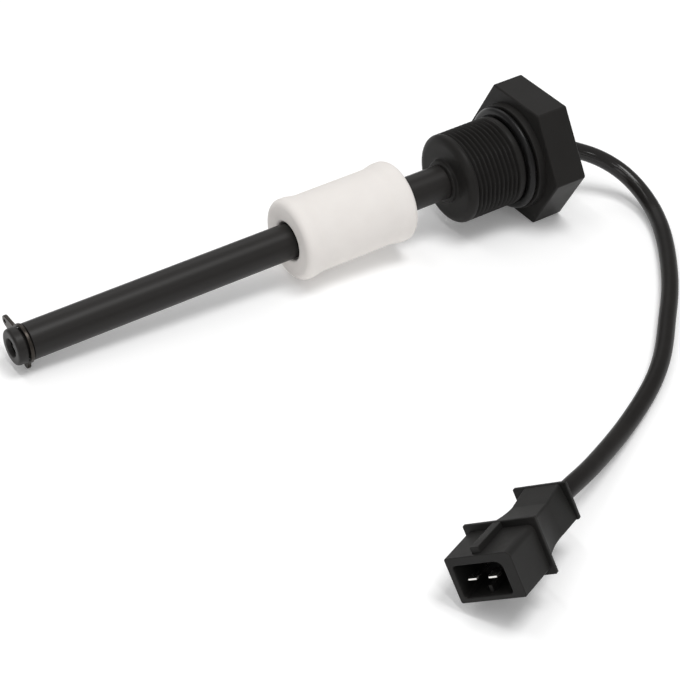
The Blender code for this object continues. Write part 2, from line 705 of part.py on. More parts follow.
def terminal_places():
    """The two terminals' numbers and places across the connector."""
    return ((1, TAB_CENTRE - TAB_PITCH / 2), (2, TAB_CENTRE + TAB_PITCH / 2))


def hollow_connector(shell, finish, axis):
    """The mouth, a slot and a channel for each terminal, the core chamber, the cable's hole and the seal's seat."""
    past_face = 0.001
    overlap = SEAT_GAP
    cut(shell, block("mouth", mouth_outline(), -past_face, MOUTH_DEPTH, finish, axis))
    key_left, key_right = TAB_CENTRE - KEY_WIDTH / 2, TAB_CENTRE + KEY_WIDTH / 2
    key_foot, key_top = MOUTH_BOTTOM - overlap, MOUTH_BOTTOM + KEY_HEIGHT
    key = [(key_left, key_foot), (key_right, key_foot), (key_right, key_top), (key_left, key_top)]
    join(shell, block("key_rib", key, KEY_START, MOUTH_DEPTH + overlap, finish, axis))
    slot_end = MOUTH_DEPTH + PARTITION_THICKNESS + SEAT_GAP
    slot_half = TAB_WIDTH / 2 + SEAT_GAP
    slot_up = TAB_THICKNESS / 2 + SEAT_GAP
    for number, across in terminal_places():
        slot = rounded_box(
            across - slot_half, across + slot_half, TAB_HEIGHT - slot_up, TAB_HEIGHT + slot_up, SEAT_GAP, 1
        )
        cut(shell, block(f"slot_{number}", slot, MOUTH_DEPTH - overlap, slot_end, finish, axis))
        channel_start = MOUTH_DEPTH + PARTITION_THICKNESS
        channel_end = CHAMBER_START + overlap
        channel = bar(
            f"channel_{number}", (across, TAB_HEIGHT), CHANNEL_RADIUS, channel_start, channel_end,
            SMALL_ROUND, finish, axis,
        )
        cut(shell, channel)
    sections = []
    for depth, centre, spread in (
        (CHAMBER_START, TAB_CENTRE, TAB_PITCH / 2),
        (CHAMBER_END, CABLE_ENTRY_OFFSET, TAIL_SPREAD),
    ):
        half = spread + CORE_RADIUS + CHAMBER_MARGIN
        outline = rounded_box(centre - half, centre + half, CHAMBER_BOTTOM, CHAMBER_TOP, BODY_CORNER_RADIUS)
        sections.append(along_y(outline, depth))
    cut(shell, lofted("core_chamber", sections, finish, axis))
    entry = (CABLE_ENTRY_OFFSET, CABLE_ENTRY_HEIGHT)
    seat_start = CONNECTOR_END - SEAL_SEAT_DEPTH
    hole = bar(
        "cable_hole", entry, CABLE_HOLE_RADIUS, CHAMBER_END - overlap, CONNECTOR_END + past_face,
        SMALL_ROUND * 2, finish, axis,
    )
    cut(shell, hole)
    seat = bar(
        "seal_seat", entry, SEAL_RADIUS + SEAT_GAP, seat_start, CONNECTOR_END + past_face,
        SMALL_ROUND * 2, finish, axis,
    )
    cut(shell, seat)


def tab_terminals(finish, axis):
    """Each terminal is one pressing: a flat tab in the mouth and a round barrel that grips its core."""
    for number, across in terminal_places():

        def section(width, thickness, depth):
            corners = rounded_box(
                across - width / 2, across + width / 2,
                TAB_HEIGHT - thickness / 2, TAB_HEIGHT + thickness / 2, thickness / 8, 1,
            )
            return along_y(corners, depth)

        blade = [
            section(TAB_TIP_WIDTH, TAB_TIP_THICKNESS, TAB_TIP),
            section(TAB_WIDTH, TAB_THICKNESS, TAB_TIP + TAB_TAPER),
            section(TAB_WIDTH, TAB_THICKNESS, BARREL_START + TAB_THICKNESS),
        ]
        tab = lofted(f"tab_terminal_{number}", blade, finish, axis)
        place = (across, TAB_HEIGHT)
        barrel = bar(f"barrel_{number}", place, BARREL_RADIUS, BARREL_START, BARREL_END, SMALL_ROUND, finish, axis)
        join(tab, barrel)
        bore_start = BARREL_END - BARREL_BORE_DEPTH
        bore_radius = CORE_RADIUS + SEAT_GAP
        past_end = 0.001
        bore = bar(
            f"barrel_bore_{number}", place, bore_radius, bore_start, BARREL_END + past_end,
            SMALL_ROUND, finish, axis,
        )
        cut(tab, bore)


def core_tails(finishes, axis):
    """The stripped cores between the cable's end and the terminals' barrels."""
    start = BARREL_END - BARREL_BORE_DEPTH + SEAT_GAP
    end = CHAMBER_END - SEAT_GAP
    for (number, outer), side, finish in zip(terminal_places(), (-1, 1), ("core_a", "core_b")):
        inner = CABLE_ENTRY_OFFSET + side * TAIL_SPREAD
        bend_start = BARREL_END + CORE_RADIUS
        run = end - bend_start
        route = [
            (outer, start, TAB_HEIGHT),
            (outer, bend_start, TAB_HEIGHT),
        ]
        for share in (0.25, 0.5, 0.75):
            ease = share * share * (3 - 2 * share)
            route.append((
                outer + (inner - outer) * ease,
                bend_start + run * share,
                TAB_HEIGHT + (CABLE_ENTRY_HEIGHT - TAB_HEIGHT) * ease,
            ))
        route.append((inner, end, CABLE_ENTRY_HEIGHT))
        rod(f"core_tail_{number}", route, CORE_RADIUS, finishes[finish], axis)


def cable_seal(finish, axis):
    """A rubber ring round the cable, seated in the rear flange and flush with it."""
    start = CONNECTOR_END - SEAL_SEAT_DEPTH + SEAT_GAP
    end = CONNECTOR_END
    entry = (CABLE_ENTRY_OFFSET, CABLE_ENTRY_HEIGHT)
    seal = bar("cable_seal", entry, SEAL_RADIUS, start, end, SMALL_ROUND * 2, finish, axis)
    past_ends = 0.001
    hole = bar(
        "seal_hole", entry, CABLE_HOLE_RADIUS, start - past_ends, end + past_ends, SMALL_ROUND * 2, finish, axis
    )
    cut(seal, hole)


def smooth_route(points, spacing):
    """Points about a spacing apart on the natural cubic spline through the route's own points."""
    knots = np.array([tuple(point) for point in points])
    steps = np.linalg.norm(np.diff(knots, axis=0), axis=1)
    reached = np.concatenate(([0.0], np.cumsum(steps)))
    system = np.eye(len(knots))
    target = np.zeros_like(knots)
    slopes = np.diff(knots, axis=0) / steps[:, None]
    for i in range(1, len(knots) - 1):
        system[i, i - 1:i + 2] = steps[i - 1], 2 * (steps[i - 1] + steps[i]), steps[i]
        target[i] = 6 * (slopes[i] - slopes[i - 1])
    bends = np.linalg.solve(system, target)
    count = round(reached[-1] / spacing) + 1
    route = []
    for place in np.linspace(0.0, reached[-1], count):
        i = min(int(np.searchsorted(reached, place, side="right")) - 1, len(steps) - 1)
        step, after, before = steps[i], place - reached[i], reached[i + 1] - place
        point = (bends[i] * before ** 3 + bends[i + 1] * after ** 3) / (6 * step)
        point += (knots[i] / step - bends[i] * step / 6) * before
        point += (knots[i + 1] / step - bends[i + 1] * step / 6) * after
        route.append(tuple(point))
    return route


def cable(finish, sensor, connector):
    """The cable leaves the head along the sensor's axis and enters the connector along its own."""
    head = Matrix.LocRotScale(sensor.location, sensor.rotation_euler, None)
    plug = connector_matrix()
    bush_end = HEX_LENGTH - POTTING_RECESS + BUSH_STAND_OUT
    start = [head @ Vector((x, 0.0, 0.0)) for x in (CABLE_END_IN_HEAD, bush_end, bush_end + HEAD_STRAIGHT)]
    end = [
        plug @ Vector((CABLE_ENTRY_OFFSET, y, CABLE_ENTRY_HEIGHT))
        for y in (CONNECTOR_END + ENTRY_STRAIGHT, CONNECTOR_END, CHAMBER_END)
    ]
    route = start + [Vector(point) for point in CABLE_ROUTE] + end
    rod("cable", smooth_route(route, CABLE_POINT_SPACING), CABLE_RADIUS, finish, None)


def build():
    clear_scene()
    finishes = make_finishes()
    sensor = tilted_axis()
    threaded_plug(finishes["plug"], sensor)
    sealing_ring(finishes["rubber"], sensor)
    stem_tube(finishes["stem"], sensor)
    tip_plug(finishes["stem"], sensor)
    retaining_clip(finishes["steel"], sensor)
    float_pieces(finishes, sensor)
    circuit_strip(finishes["board"], sensor)
    reed_switch(finishes, sensor)
    core_wires(finishes, sensor)
    head_filling(finishes, sensor)
    connector = connector_axis()
    shell = connector_shell(finishes["housing"], connector)
    hollow_connector(shell, finishes["housing"], connector)
    tab_terminals(finishes["tin"], connector)
    core_tails(finishes, connector)
    cable_seal(finishes["rubber"], connector)
    cable(finishes["jacket"], sensor, connector)


build()
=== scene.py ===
# %% [markdown]
# # Coolant level sensor
# The real sensor screws into the wall of a coolant tank. A white float slides on its black stem, and a ring
# magnet in the float closes a reed switch inside the stem when the coolant runs low. A short cable carries
# that signal to a two-pin connector.
# The solids are already packed, with their places and sizes. This lesson keeps those, and gives each piece
# what the eye looks for: the cut thread, the rounded edges of a moulding, and a finish of its own.

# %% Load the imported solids
import json
import math

import bmesh
import bpy
import numpy as np
from mathutils import Matrix, Vector

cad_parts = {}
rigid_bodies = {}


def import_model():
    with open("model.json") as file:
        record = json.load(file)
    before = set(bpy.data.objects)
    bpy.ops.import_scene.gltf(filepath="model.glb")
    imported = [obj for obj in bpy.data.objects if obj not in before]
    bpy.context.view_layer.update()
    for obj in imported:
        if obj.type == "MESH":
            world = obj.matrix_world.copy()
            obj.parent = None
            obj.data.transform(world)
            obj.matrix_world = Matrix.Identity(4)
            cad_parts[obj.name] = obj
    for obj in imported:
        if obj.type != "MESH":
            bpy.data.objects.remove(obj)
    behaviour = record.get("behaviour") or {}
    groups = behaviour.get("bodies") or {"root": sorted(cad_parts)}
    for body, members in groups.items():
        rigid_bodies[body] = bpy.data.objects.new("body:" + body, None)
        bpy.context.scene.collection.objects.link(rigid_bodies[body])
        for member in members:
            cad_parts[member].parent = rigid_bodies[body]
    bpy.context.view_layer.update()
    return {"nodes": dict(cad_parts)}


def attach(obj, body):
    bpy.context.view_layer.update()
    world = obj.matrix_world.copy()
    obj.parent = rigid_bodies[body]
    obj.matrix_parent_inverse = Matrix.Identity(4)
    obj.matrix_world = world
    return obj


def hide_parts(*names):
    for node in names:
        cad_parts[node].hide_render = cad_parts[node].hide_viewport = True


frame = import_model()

# %% [markdown]
# ## Camera
# A product photographer stands well back with a long lens, so that the far end of a slim object isn't much
# smaller than its near end. A camera can be aimed with a Track To constraint or by its own three turns. The
# three turns are used here, because the photograph's frame is turned a little about the view's own line.

# %% Place the camera
CAMERA_PLACE = (-0.27711, -0.41688, 0.33900)
CAMERA_HEADING = math.radians(-35.23)
CAMERA_ELEVATION = math.radians(35.65)
CAMERA_ROLL = math.radians(3.12)
CAMERA_LENS = 116.47
FULL_FRAME_WIDTH = 36.0
NEAREST_SEEN = 0.01
MIDDLE_OF_OBJECT = Vector((0.0, -0.06, 0.01))

camera_data = bpy.data.cameras.new("camera")
camera_data.lens = CAMERA_LENS
camera_data.sensor_width = FULL_FRAME_WIDTH
camera_data.clip_start = NEAREST_SEEN
camera = bpy.data.objects.new("camera", camera_data)
aim = Matrix.Rotation(CAMERA_HEADING, 4, "Z")
aim = aim @ Matrix.Rotation(math.pi / 2 - CAMERA_ELEVATION, 4, "X")
aim = aim @ Matrix.Rotation(CAMERA_ROLL, 4, "Z")
camera.matrix_world = Matrix.Translation(CAMERA_PLACE) @ aim
bpy.context.scene.collection.objects.link(camera)
bpy.context.scene.camera = camera
print("camera distance to the middle:", round((Vector(CAMERA_PLACE) - MIDDLE_OF_OBJECT).length, 3))

# %% [markdown]
# ## Two frames of reference
# Everything on the sensor is round about one axis, and everything on the connector is square to another.
# The sensor lies on the front edge of one flat of its hexagon and on an ear of its clip, so its axis dips
# towards the tip. A piece could be made straight in its place, but its sizes would be hard to read there.
# So each is made in the frame where it is simple, and its mesh is then moved to its place.

# %% The sensor's frame and the connector's frame
SENSOR_TILT = 0.067714
SENSOR_PLACE = (0.074196, 0.0, 0.017925)
CONNECTOR_PLACE = (-0.0361, -0.13675, 0.012398)
CONNECTOR_HEADING = math.radians(26.5)
CONNECTOR_PITCH = math.radians(-4.2)
CONNECTOR_ROLL = math.radians(31.0)

sensor_frame = Matrix.Translation(SENSOR_PLACE) @ Matrix.Rotation(-SENSOR_TILT, 4, "Y")


def connector_turn():
    """Columns: the connector's right, its way from the mouth to the cable, and its up."""
    along = Vector((
        math.cos(CONNECTOR_HEADING) * math.cos(CONNECTOR_PITCH),
        math.sin(CONNECTOR_HEADING) * math.cos(CONNECTOR_PITCH),
        math.sin(CONNECTOR_PITCH),
    ))
    level = Vector((math.sin(CONNECTOR_HEADING), -math.cos(CONNECTOR_HEADING), 0.0))
    right = level * math.cos(CONNECTOR_ROLL) + level.cross(along) * math.sin(CONNECTOR_ROLL)
    return Matrix((right, along, right.cross(along))).transposed().to_4x4()


connector_frame = Matrix.Translation(CONNECTOR_PLACE) @ connector_turn()
print("sensor axis:", [round(c, 4) for c in sensor_frame.to_3x3() @ Vector((1, 0, 0))])

# %% [markdown]
# ## Shared tools for finishes
# Colours are written as the hex values that one would read from a colour card, and one function turns them
# into the linear values that a shader mixes. One function adds a node with its settings and links, and the
# five after it each name a step that comes back in many finishes. They could be node groups, but then their
# sizes would be hidden in the groups. A noise's scale is the number of its cells in a metre, and here it is
# worked out from the real size of a cell.

# %% Helpers for objects, colours and nodes
# A Mix node's colour sockets share their names with its number sockets, so they are taken by their place.
MIX_A, MIX_B, MIX_RESULT = 6, 7, 2
MM_IN_METRE = 1000.0


def placed(name, data):
    """Adds an object to the scene."""
    thing = bpy.data.objects.new(name, data)
    bpy.context.scene.collection.objects.link(thing)
    return thing


def linear(code):
    """An sRGB hex colour as linear RGBA."""
    values = [int(code[i:i + 2], 16) / 255 for i in (1, 3, 5)]
    return (*[v / 12.92 if v <= 0.04045 else ((v + 0.055) / 1.055) ** 2.4 for v in values], 1.0)


def add(tree, kind, settings=None, inputs=None):
    """Adds a node: settings are its own properties, inputs are values or other nodes' sockets."""
    step = tree.nodes.new(kind)
    for name, value in (settings or {}).items():
        setattr(step, name, value)
    for name, value in (inputs or {}).items():
        if isinstance(value, bpy.types.NodeSocket):
            tree.links.new(value, step.inputs[name])
        else:
            step.inputs[name].default_value = value
    return step


def noise(tree, place, cell_mm, detail, contrast=0.5):
    """Noise from 0 to 1, with cells of a real size."""
    return add(
        tree, "ShaderNodeTexNoise", None,
        {"Vector": place, "Scale": MM_IN_METRE / cell_mm, "Detail": detail, "Roughness": contrast},
    ).outputs["Fac"]


def compute(tree, operation, a, b=0.0, c=0.0):
    """One step of arithmetic."""
    return add(tree, "ShaderNodeMath", {"operation": operation}, {0: a, 1: b, 2: c}).outputs["Value"]


def ramp(tree, value, low, high, start=0.0, end=1.0, kind="LINEAR"):
    """Goes from start to end while the value goes from low to high, and stays level past them."""
    return add(
        tree, "ShaderNodeMapRange", {"interpolation_type": kind},
        {"Value": value, "From Min": low, "From Max": high, "To Min": start, "To Max": end},
    ).outputs["Result"]


def mixed(tree, share, shades):
    """A colour between two hex shades."""
    return add(
        tree, "ShaderNodeMix", {"data_type": "RGBA"},
        {"Factor": share, MIX_A: linear(shades[0]), MIX_B: linear(shades[1])},
    ).outputs[MIX_RESULT]


def bumped(tree, height, strength, depth_mm):
    """The normal of a surface with bumps of a real depth."""
    return add(
        tree, "ShaderNodeBump", None,
        {"Height": height, "Strength": strength, "Distance": depth_mm / MM_IN_METRE},
    ).outputs["Normal"]


# A grained face loses part of its mirror reflection, so plastics reflect less than polished ones would.
PLASTIC_SPECULAR = 0.20


def new_finish(name, roughness, ior=None):
    """A Principled material with its plain numbers on the shader's own sockets. A metal gives no IOR."""
    finish = bpy.data.materials.new(name)
    finish.use_nodes = True
    shader = finish.node_tree.nodes["Principled BSDF"]
    shader.inputs["Roughness"].default_value = roughness
    if ior:
        shader.inputs["IOR"].default_value = ior
        shader.inputs["Specular IOR Level"].default_value = PLASTIC_SPECULAR
    return finish, finish.node_tree, shader


print("nylon black as linear:", [round(c, 4) for c in linear("#2c2b2a")])

# %% [markdown]
# ## Finishes of moulded and extruded plastics
# A moulding copies the steel of its mould. That steel is spark-eroded or sand-blasted, so the surface is a
# field of tiny pits that spreads a highlight wide. An extrusion is drawn through a die, so it has faint
# lines along its length instead. Both have slow changes of shade where the material cooled at different
# rates. Image textures could show this, but noise at the real size of the grain works on any shape.

# %% A grained plastic
GRAIN_SHARE = 0.5
# The clouds plus half the grain mostly lie between these two values.
BLEND_LOW, BLEND_HIGH = 0.4, 1.1
GRAIN_CONTRAST = 0.6
GRAIN_STRENGTH = 0.6


def grained(name, shades, roughness, ior, grain_mm, depth_mm, cloud_mm=9.0, stretch=None, spread=0.08):
    """Two close shades in slow clouds, a roughness that wanders with them, and a fine grain in relief."""
    finish, tree, shader = new_finish(name, roughness, ior)
    place = add(tree, "ShaderNodeTexCoord").outputs["Object"]
    if stretch:
        turn, scale = stretch
        place = add(
            tree, "ShaderNodeMapping", {"vector_type": "TEXTURE"},
            {"Vector": place, "Rotation": turn, "Scale": scale},
        ).outputs["Vector"]
    cloud = noise(tree, place, cloud_mm, 4.0)
    tree.links.new(mixed(tree, cloud, shades), shader.inputs["Base Color"])
    grain = noise(tree, place, grain_mm, 2.0, GRAIN_CONTRAST)
    blend = compute(tree, "MULTIPLY_ADD", grain, GRAIN_SHARE, cloud)
    wander = ramp(tree, blend, BLEND_LOW, BLEND_HIGH, roughness - spread, roughness + spread)
    tree.links.new(wander, shader.inputs["Roughness"])
    tree.links.new(bumped(tree, grain, GRAIN_STRENGTH, depth_mm), shader.inputs["Normal"])
    return finish


# Glass-filled nylon, moulded: near black, with a dull sheen and a very fine pitted grain.
plug_nylon = grained(
    "moulded_glass_filled_nylon", ("#21201f", "#272625"),
    roughness=0.42, ior=1.30, grain_mm=0.25, depth_mm=0.012,
)
# Acetal tube, extruded: faint lines along the stem, and a satin highlight down its whole length.
STEM_LINES = ((0.0, -SENSOR_TILT, 0.0), (30.0, 1.0, 1.0))
stem_acetal = grained(
    "extruded_acetal", ("#201f1e", "#282625"),
    roughness=0.40, ior=1.48, grain_mm=0.30, depth_mm=0.008, cloud_mm=3.0, stretch=STEM_LINES, spread=0.05,
)
# Nylon from a spark-eroded mould: the connector looks matt and slightly grey beside the plug.
connector_nylon = grained(
    "spark_eroded_nylon", ("#1d1d1c", "#232221"),
    roughness=0.50, ior=1.45, grain_mm=0.22, depth_mm=0.020,
)
# Nitrile rubber, pressed in a polished mould: blacker than the plastics, with a thin soft highlight.
nitrile = grained(
    "pressed_nitrile_rubber", ("#121212", "#181717"),
    roughness=0.32, ior=1.52, grain_mm=0.30, depth_mm=0.010,
)
# Closed-cell polypropylene foam with a moulded skin: chalk white, soft, with faint shallow dimples.
float_foam = grained(
    "moulded_polypropylene_foam", ("#e2ddd9", "#e9e5e1"),
    roughness=0.62, ior=1.49, grain_mm=0.9, depth_mm=0.020, cloud_mm=6.0,
)
plastics = (plug_nylon, stem_acetal, connector_nylon, nitrile, float_foam)
print("plastics and rubber:", [finish.name for finish in plastics])

# %% [markdown]
# ## The cable's jacket
# The jacket is soft PVC, extruded over its two cores. Fresh PVC shines, and where it has been handled and
# rubbed it turns satin. The jacket shines near the head and is duller further along, so along the cable's
# way its roughness rises and its mirror reflection fades. Two materials would meet at a hard line, and here
# the change is one smooth ramp that follows the place on the object, so it stays put in any view.

# %% PVC jacket and core insulation
JACKET_SHINE_END = -0.012
JACKET_DULL_START = -0.040
FRESH_SPECULAR, WORN_SPECULAR = 0.28, 0.06
FRESH_ROUGHNESS = 0.10
ROUGHNESS_BY_WEAR = 0.24
ROUGHNESS_BY_RUBBING = 0.06
RUBBED_CLOUD_MM = 4.0
SKIN_WAVE_MM = 1.2
SKIN_WAVE_STRENGTH = 0.3
SKIN_WAVE_DEPTH_MM = 0.01


def pvc_jacket():
    """Shiny black near the head and satin further on, with small rubbed clouds and a slightly wavy skin."""
    finish, tree, shader = new_finish("extruded_pvc_jacket", roughness=0.25, ior=1.53)
    place = add(tree, "ShaderNodeTexCoord").outputs["Object"]
    across = add(tree, "ShaderNodeSeparateXYZ", None, {"Vector": place}).outputs["Y"]
    wear = ramp(tree, across, JACKET_SHINE_END, JACKET_DULL_START, kind="SMOOTHSTEP")
    bloom = ramp(tree, wear, 0.0, 1.0, FRESH_SPECULAR, WORN_SPECULAR)
    tree.links.new(bloom, shader.inputs["Specular IOR Level"])
    rub = noise(tree, place, RUBBED_CLOUD_MM, 3.0)
    rub_part = compute(tree, "MULTIPLY", rub, ROUGHNESS_BY_RUBBING)
    dull = compute(tree, "MULTIPLY_ADD", wear, ROUGHNESS_BY_WEAR, rub_part)
    tree.links.new(compute(tree, "ADD", dull, FRESH_ROUGHNESS), shader.inputs["Roughness"])
    tree.links.new(mixed(tree, rub, ("#1c1b1a", "#262423")), shader.inputs["Base Color"])
    skin = noise(tree, place, SKIN_WAVE_MM, 2.0)
    tree.links.new(bumped(tree, skin, SKIN_WAVE_STRENGTH, SKIN_WAVE_DEPTH_MM), shader.inputs["Normal"])
    return finish


jacket_pvc = pvc_jacket()
# PVC core insulation: smooth, evenly coloured and waxy, in the two colours that tell the cores apart.
CORE_SKIN = {"roughness": 0.35, "ior": 1.53, "grain_mm": 0.3, "depth_mm": 0.004}
brown_pvc = grained("brown_pvc_insulation", ("#6a4630", "#754f38"), **CORE_SKIN)
blue_pvc = grained("blue_pvc_insulation", ("#2b4d92", "#335aa6"), **CORE_SKIN)
print("jacket and core finishes:", jacket_pvc.name, brown_pvc.name, blue_pvc.name)

# %% [markdown]
# ## Metal finishes
# The terminals are brass, tin plated: bright, with the small waves of a plated sheet. The clip is spring
# steel, stamped from strip, left brown-black by hardening and made satin by tumbling. A metal's look is
# nearly all reflection, so a painted pattern would look printed. Its pattern is in its roughness and its
# relief.

# %% Plated and hardened metals
METAL_CLOUD_MM = 1.5


def metal(name, shades, roughness, grain_mm, depth_mm, spread):
    """A grained finish with small clouds that conducts."""
    finish = grained(name, shades, roughness, None, grain_mm, depth_mm, METAL_CLOUD_MM, None, spread)
    finish.node_tree.nodes["Principled BSDF"].inputs["Metallic"].default_value = 1.0
    return finish


# Tin on brass: the two bright specks in the connector's dark mouth.
tin_plate = metal(
    "tin_plated_brass", ("#dedcd8", "#ebe9e5"),
    roughness=0.24, grain_mm=0.15, depth_mm=0.004, spread=0.06,
)
# Hardened spring steel: a dark ring whose rim catches one long soft glint.
spring_steel = metal(
    "hardened_spring_steel", ("#332f2c", "#45413d"),
    roughness=0.36, grain_mm=0.12, depth_mm=0.006, spread=0.08,
)
print("metals:", tin_plate.name, spring_steel.name)

# %% [markdown]
# ## Finishes of the pieces inside
# The magnet, the reed switch and its narrow board are shut in the float and the stem. They still get their
# own finish, because the library's user may open the assembly. They could be left grey, but then nobody
# could tell a magnet from a board.

# %% Ferrite, glass, solder mask and potting resin
# Sintered ferrite: dull dark grey and grainy like fine slate.
ferrite = grained(
    "sintered_ferrite", ("#3c3c3f", "#4a4a4d"),
    roughness=0.60, ior=1.6, grain_mm=0.08, depth_mm=0.015, cloud_mm=1.0,
)
# Solder mask over glass laminate: leaf green, half shiny, with the weave's faint unevenness.
solder_mask = grained(
    "solder_masked_laminate", ("#2f6b3f", "#3d7f4d"),
    roughness=0.35, ior=1.5, grain_mm=0.35, depth_mm=0.010, cloud_mm=2.0,
)
# Cast epoxy: black and fairly shiny, with the slow ripple of a face that set in the open.
potting_resin = grained(
    "cast_epoxy_resin", ("#171716", "#1f1e1d"),
    roughness=0.34, ior=1.55, grain_mm=2.5, depth_mm=0.020, cloud_mm=5.0, spread=0.04,
)


GLASS_WAVE_MM = 1.5
GLASS_WAVE_STRENGTH = 0.3
GLASS_WAVE_DEPTH_MM = 0.03
GLASS_CLEARNESS = 0.9


def drawn_glass():
    """Thin drawn glass has slow waves along its length, which bend what is seen through it a little."""
    finish, tree, shader = new_finish("drawn_switch_glass", roughness=0.04, ior=1.5)
    shader.inputs["Base Color"].default_value = linear("#d5ecdc")
    shader.inputs["Transmission Weight"].default_value = GLASS_CLEARNESS
    place = add(tree, "ShaderNodeTexCoord").outputs["Object"]
    wave = noise(tree, place, GLASS_WAVE_MM, 1.0)
    tree.links.new(bumped(tree, wave, GLASS_WAVE_STRENGTH, GLASS_WAVE_DEPTH_MM), shader.inputs["Normal"])
    return finish


switch_glass = drawn_glass()
print("inner finishes:", ferrite.name, solder_mask.name, potting_resin.name, switch_glass.name)

# %% [markdown]
# ## Studio
# The sensor lies on a white sheet that is lit from beneath a little, like a light table, so the background
# stays white and only faint shadows are left. A cut-out background could be drawn instead, but then nothing
# would stand on anything. Black plastic shows almost nothing but the reflection of its lights, so they
# decide how its forms read. A large softbox above gives the stem its long highlight, and one behind lights
# the tops of head and float. A narrow strip draws the thin line on the cable, and two fills bring out the
# thread and the front of the head. The view transform is Standard, because AgX would turn the white sheet
# grey.

# %% Floor, world and lights
SHEET_GLOW = 0.10
SHEET_SPECULAR = 0.10
SHEET_CLOUD_MM = 60.0
WORLD_GLOW = 0.38


def pale_sheet():
    """Matt white paper: hardly any highlight, and clouds of two nearly equal whites."""
    finish, tree, shader = new_finish("matt_paper_sheet", roughness=0.9, ior=1.45)
    place = add(tree, "ShaderNodeTexCoord").outputs["Object"]
    cloud = noise(tree, place, SHEET_CLOUD_MM, 2.0)
    tree.links.new(mixed(tree, cloud, ("#fbfbfb", "#fdfdfd")), shader.inputs["Base Color"])
    shader.inputs["Specular IOR Level"].default_value = SHEET_SPECULAR
    shader.inputs["Emission Color"].default_value = linear("#ffffff")
    shader.inputs["Emission Strength"].default_value = SHEET_GLOW
    return finish


FLOOR_HALF = 3.0
floor_mesh = bpy.data.meshes.new("floor")
corners = [(-1, -1), (1, -1), (1, 1), (-1, 1)]
floor_mesh.from_pydata([(x * FLOOR_HALF, y * FLOOR_HALF, 0.0) for x, y in corners], [], [(0, 1, 2, 3)])
floor_mesh.materials.append(pale_sheet())
placed("floor", floor_mesh)

world = bpy.data.worlds.new("studio")
world.use_nodes = True
background = world.node_tree.nodes["Background"]
background.inputs["Color"].default_value = linear("#ffffff")
background.inputs["Strength"].default_value = WORLD_GLOW
bpy.context.scene.world = world
bpy.context.scene.view_settings.view_transform = "Standard"


def softbox(name, place, target, width, depth, power):
    """An area light at a place, aimed at a target, in metres and watts."""
    lamp = bpy.data.lights.new(name, "AREA")
    lamp.shape = "RECTANGLE"
    lamp.size = width
    lamp.size_y = depth
    lamp.energy = power
    way = Vector(target) - Vector(place)
    turn = way.to_track_quat("-Z", "Y").to_matrix().to_4x4()
    placed(name, lamp).matrix_world = Matrix.Translation(place) @ turn


MIDDLE = (0.0, -0.05, 0.0)
BELOW_STRIP = (-0.25, -0.28, 0.0)
HEAD = (0.10, 0.0, 0.01)
LIGHTS = (
    ("overhead_softbox", (0.16, -0.28, 1.15), MIDDLE, 0.45, 0.45, 5.6),
    ("back_softbox", (0.30, 0.90, 0.80), MIDDLE, 1.0, 0.6, 2.0),
    ("strip_light", (-0.25, -0.28, 1.00), BELOW_STRIP, 0.05, 1.6, 3.2),
    ("left_fill", (-0.95, -0.70, 0.55), MIDDLE, 0.5, 0.5, 1.1),
    ("front_fill", (0.39, -1.17, 0.65), HEAD, 0.2, 0.2, 0.6),
)
for row in LIGHTS:
    softbox(*row)
print("lights:", [row[0] for row in LIGHTS])

# %% [markdown]
# ## Cable
# The cable is the only soft piece. It leaves the back of the head straight, sinks to the surface in one
# bend, lies there in one wide curve and rises a little into the connector. A few points joined by a Bezier
# curve would need handles set by hand. Here the route's points are listed, and a natural spline
# runs through them, because its bends spread evenly, as they do in a springy cable.

# %% The route of the cable
CABLE_RADIUS = 0.0024
HEX_LENGTH = 0.0100
POTTING_RECESS = 0.0046
BUSH_STAND_OUT = 0.0012
CABLE_END_IN_HEAD = 0.0042
HEAD_STRAIGHT = 0.0006
CONNECTOR_END = 0.0332
CHAMBER_END = 0.0225
ENTRY_STRAIGHT = 0.0040
CABLE_ENTRY = (0.0005, -0.0003)
CABLE_ROUTE = (
    (0.0879, -0.0005, 0.0175), (0.0942, -0.0020, 0.0149), (0.0996, -0.0043, 0.0127),
    (0.1040, -0.0078, 0.0104), (0.1067, -0.0120, 0.0082), (0.1080, -0.0182, 0.0056),
    (0.1070, -0.0255, 0.0036), (0.1031, -0.0344, 0.0027), (0.0943, -0.0477, 0.0026),
    (0.0847, -0.0597, 0.0027), (0.0747, -0.0703, 0.0026), (0.0646, -0.0806, 0.0026),
    (0.0533, -0.0898, 0.0026), (0.0426, -0.0966, 0.0027), (0.0325, -0.1025, 0.0035),
    (0.0205, -0.1092, 0.0054), (0.0109, -0.1143, 0.0073),
)
CABLE_POINT_SPACING = 0.0015


def natural_spline(points, spacing):
    """Points about a spacing apart on the natural cubic spline through the given points."""
    knots = np.array([tuple(point) for point in points])
    steps = np.linalg.norm(np.diff(knots, axis=0), axis=1)
    reached = np.concatenate(([0.0], np.cumsum(steps)))
    system = np.eye(len(knots))
    target = np.zeros_like(knots)
    slopes = np.diff(knots, axis=0) / steps[:, None]
    for i in range(1, len(knots) - 1):
        system[i, i - 1:i + 2] = steps[i - 1], 2 * (steps[i - 1] + steps[i]), steps[i]
        target[i] = 6 * (slopes[i] - slopes[i - 1])
    bends = np.linalg.solve(system, target)
    count = round(reached[-1] / spacing) + 1
    route = []
    for place in np.linspace(0.0, reached[-1], count):
        i = min(int(np.searchsorted(reached, place, side="right")) - 1, len(steps) - 1)
        step, after, before = steps[i], place - reached[i], reached[i + 1] - place
        point = (bends[i] * before ** 3 + bends[i + 1] * after ** 3) / (6 * step)
        point += (knots[i] / step - bends[i] * step / 6) * before
        point += (knots[i + 1] / step - bends[i + 1] * step / 6) * after
        route.append(Vector(point))
    return route


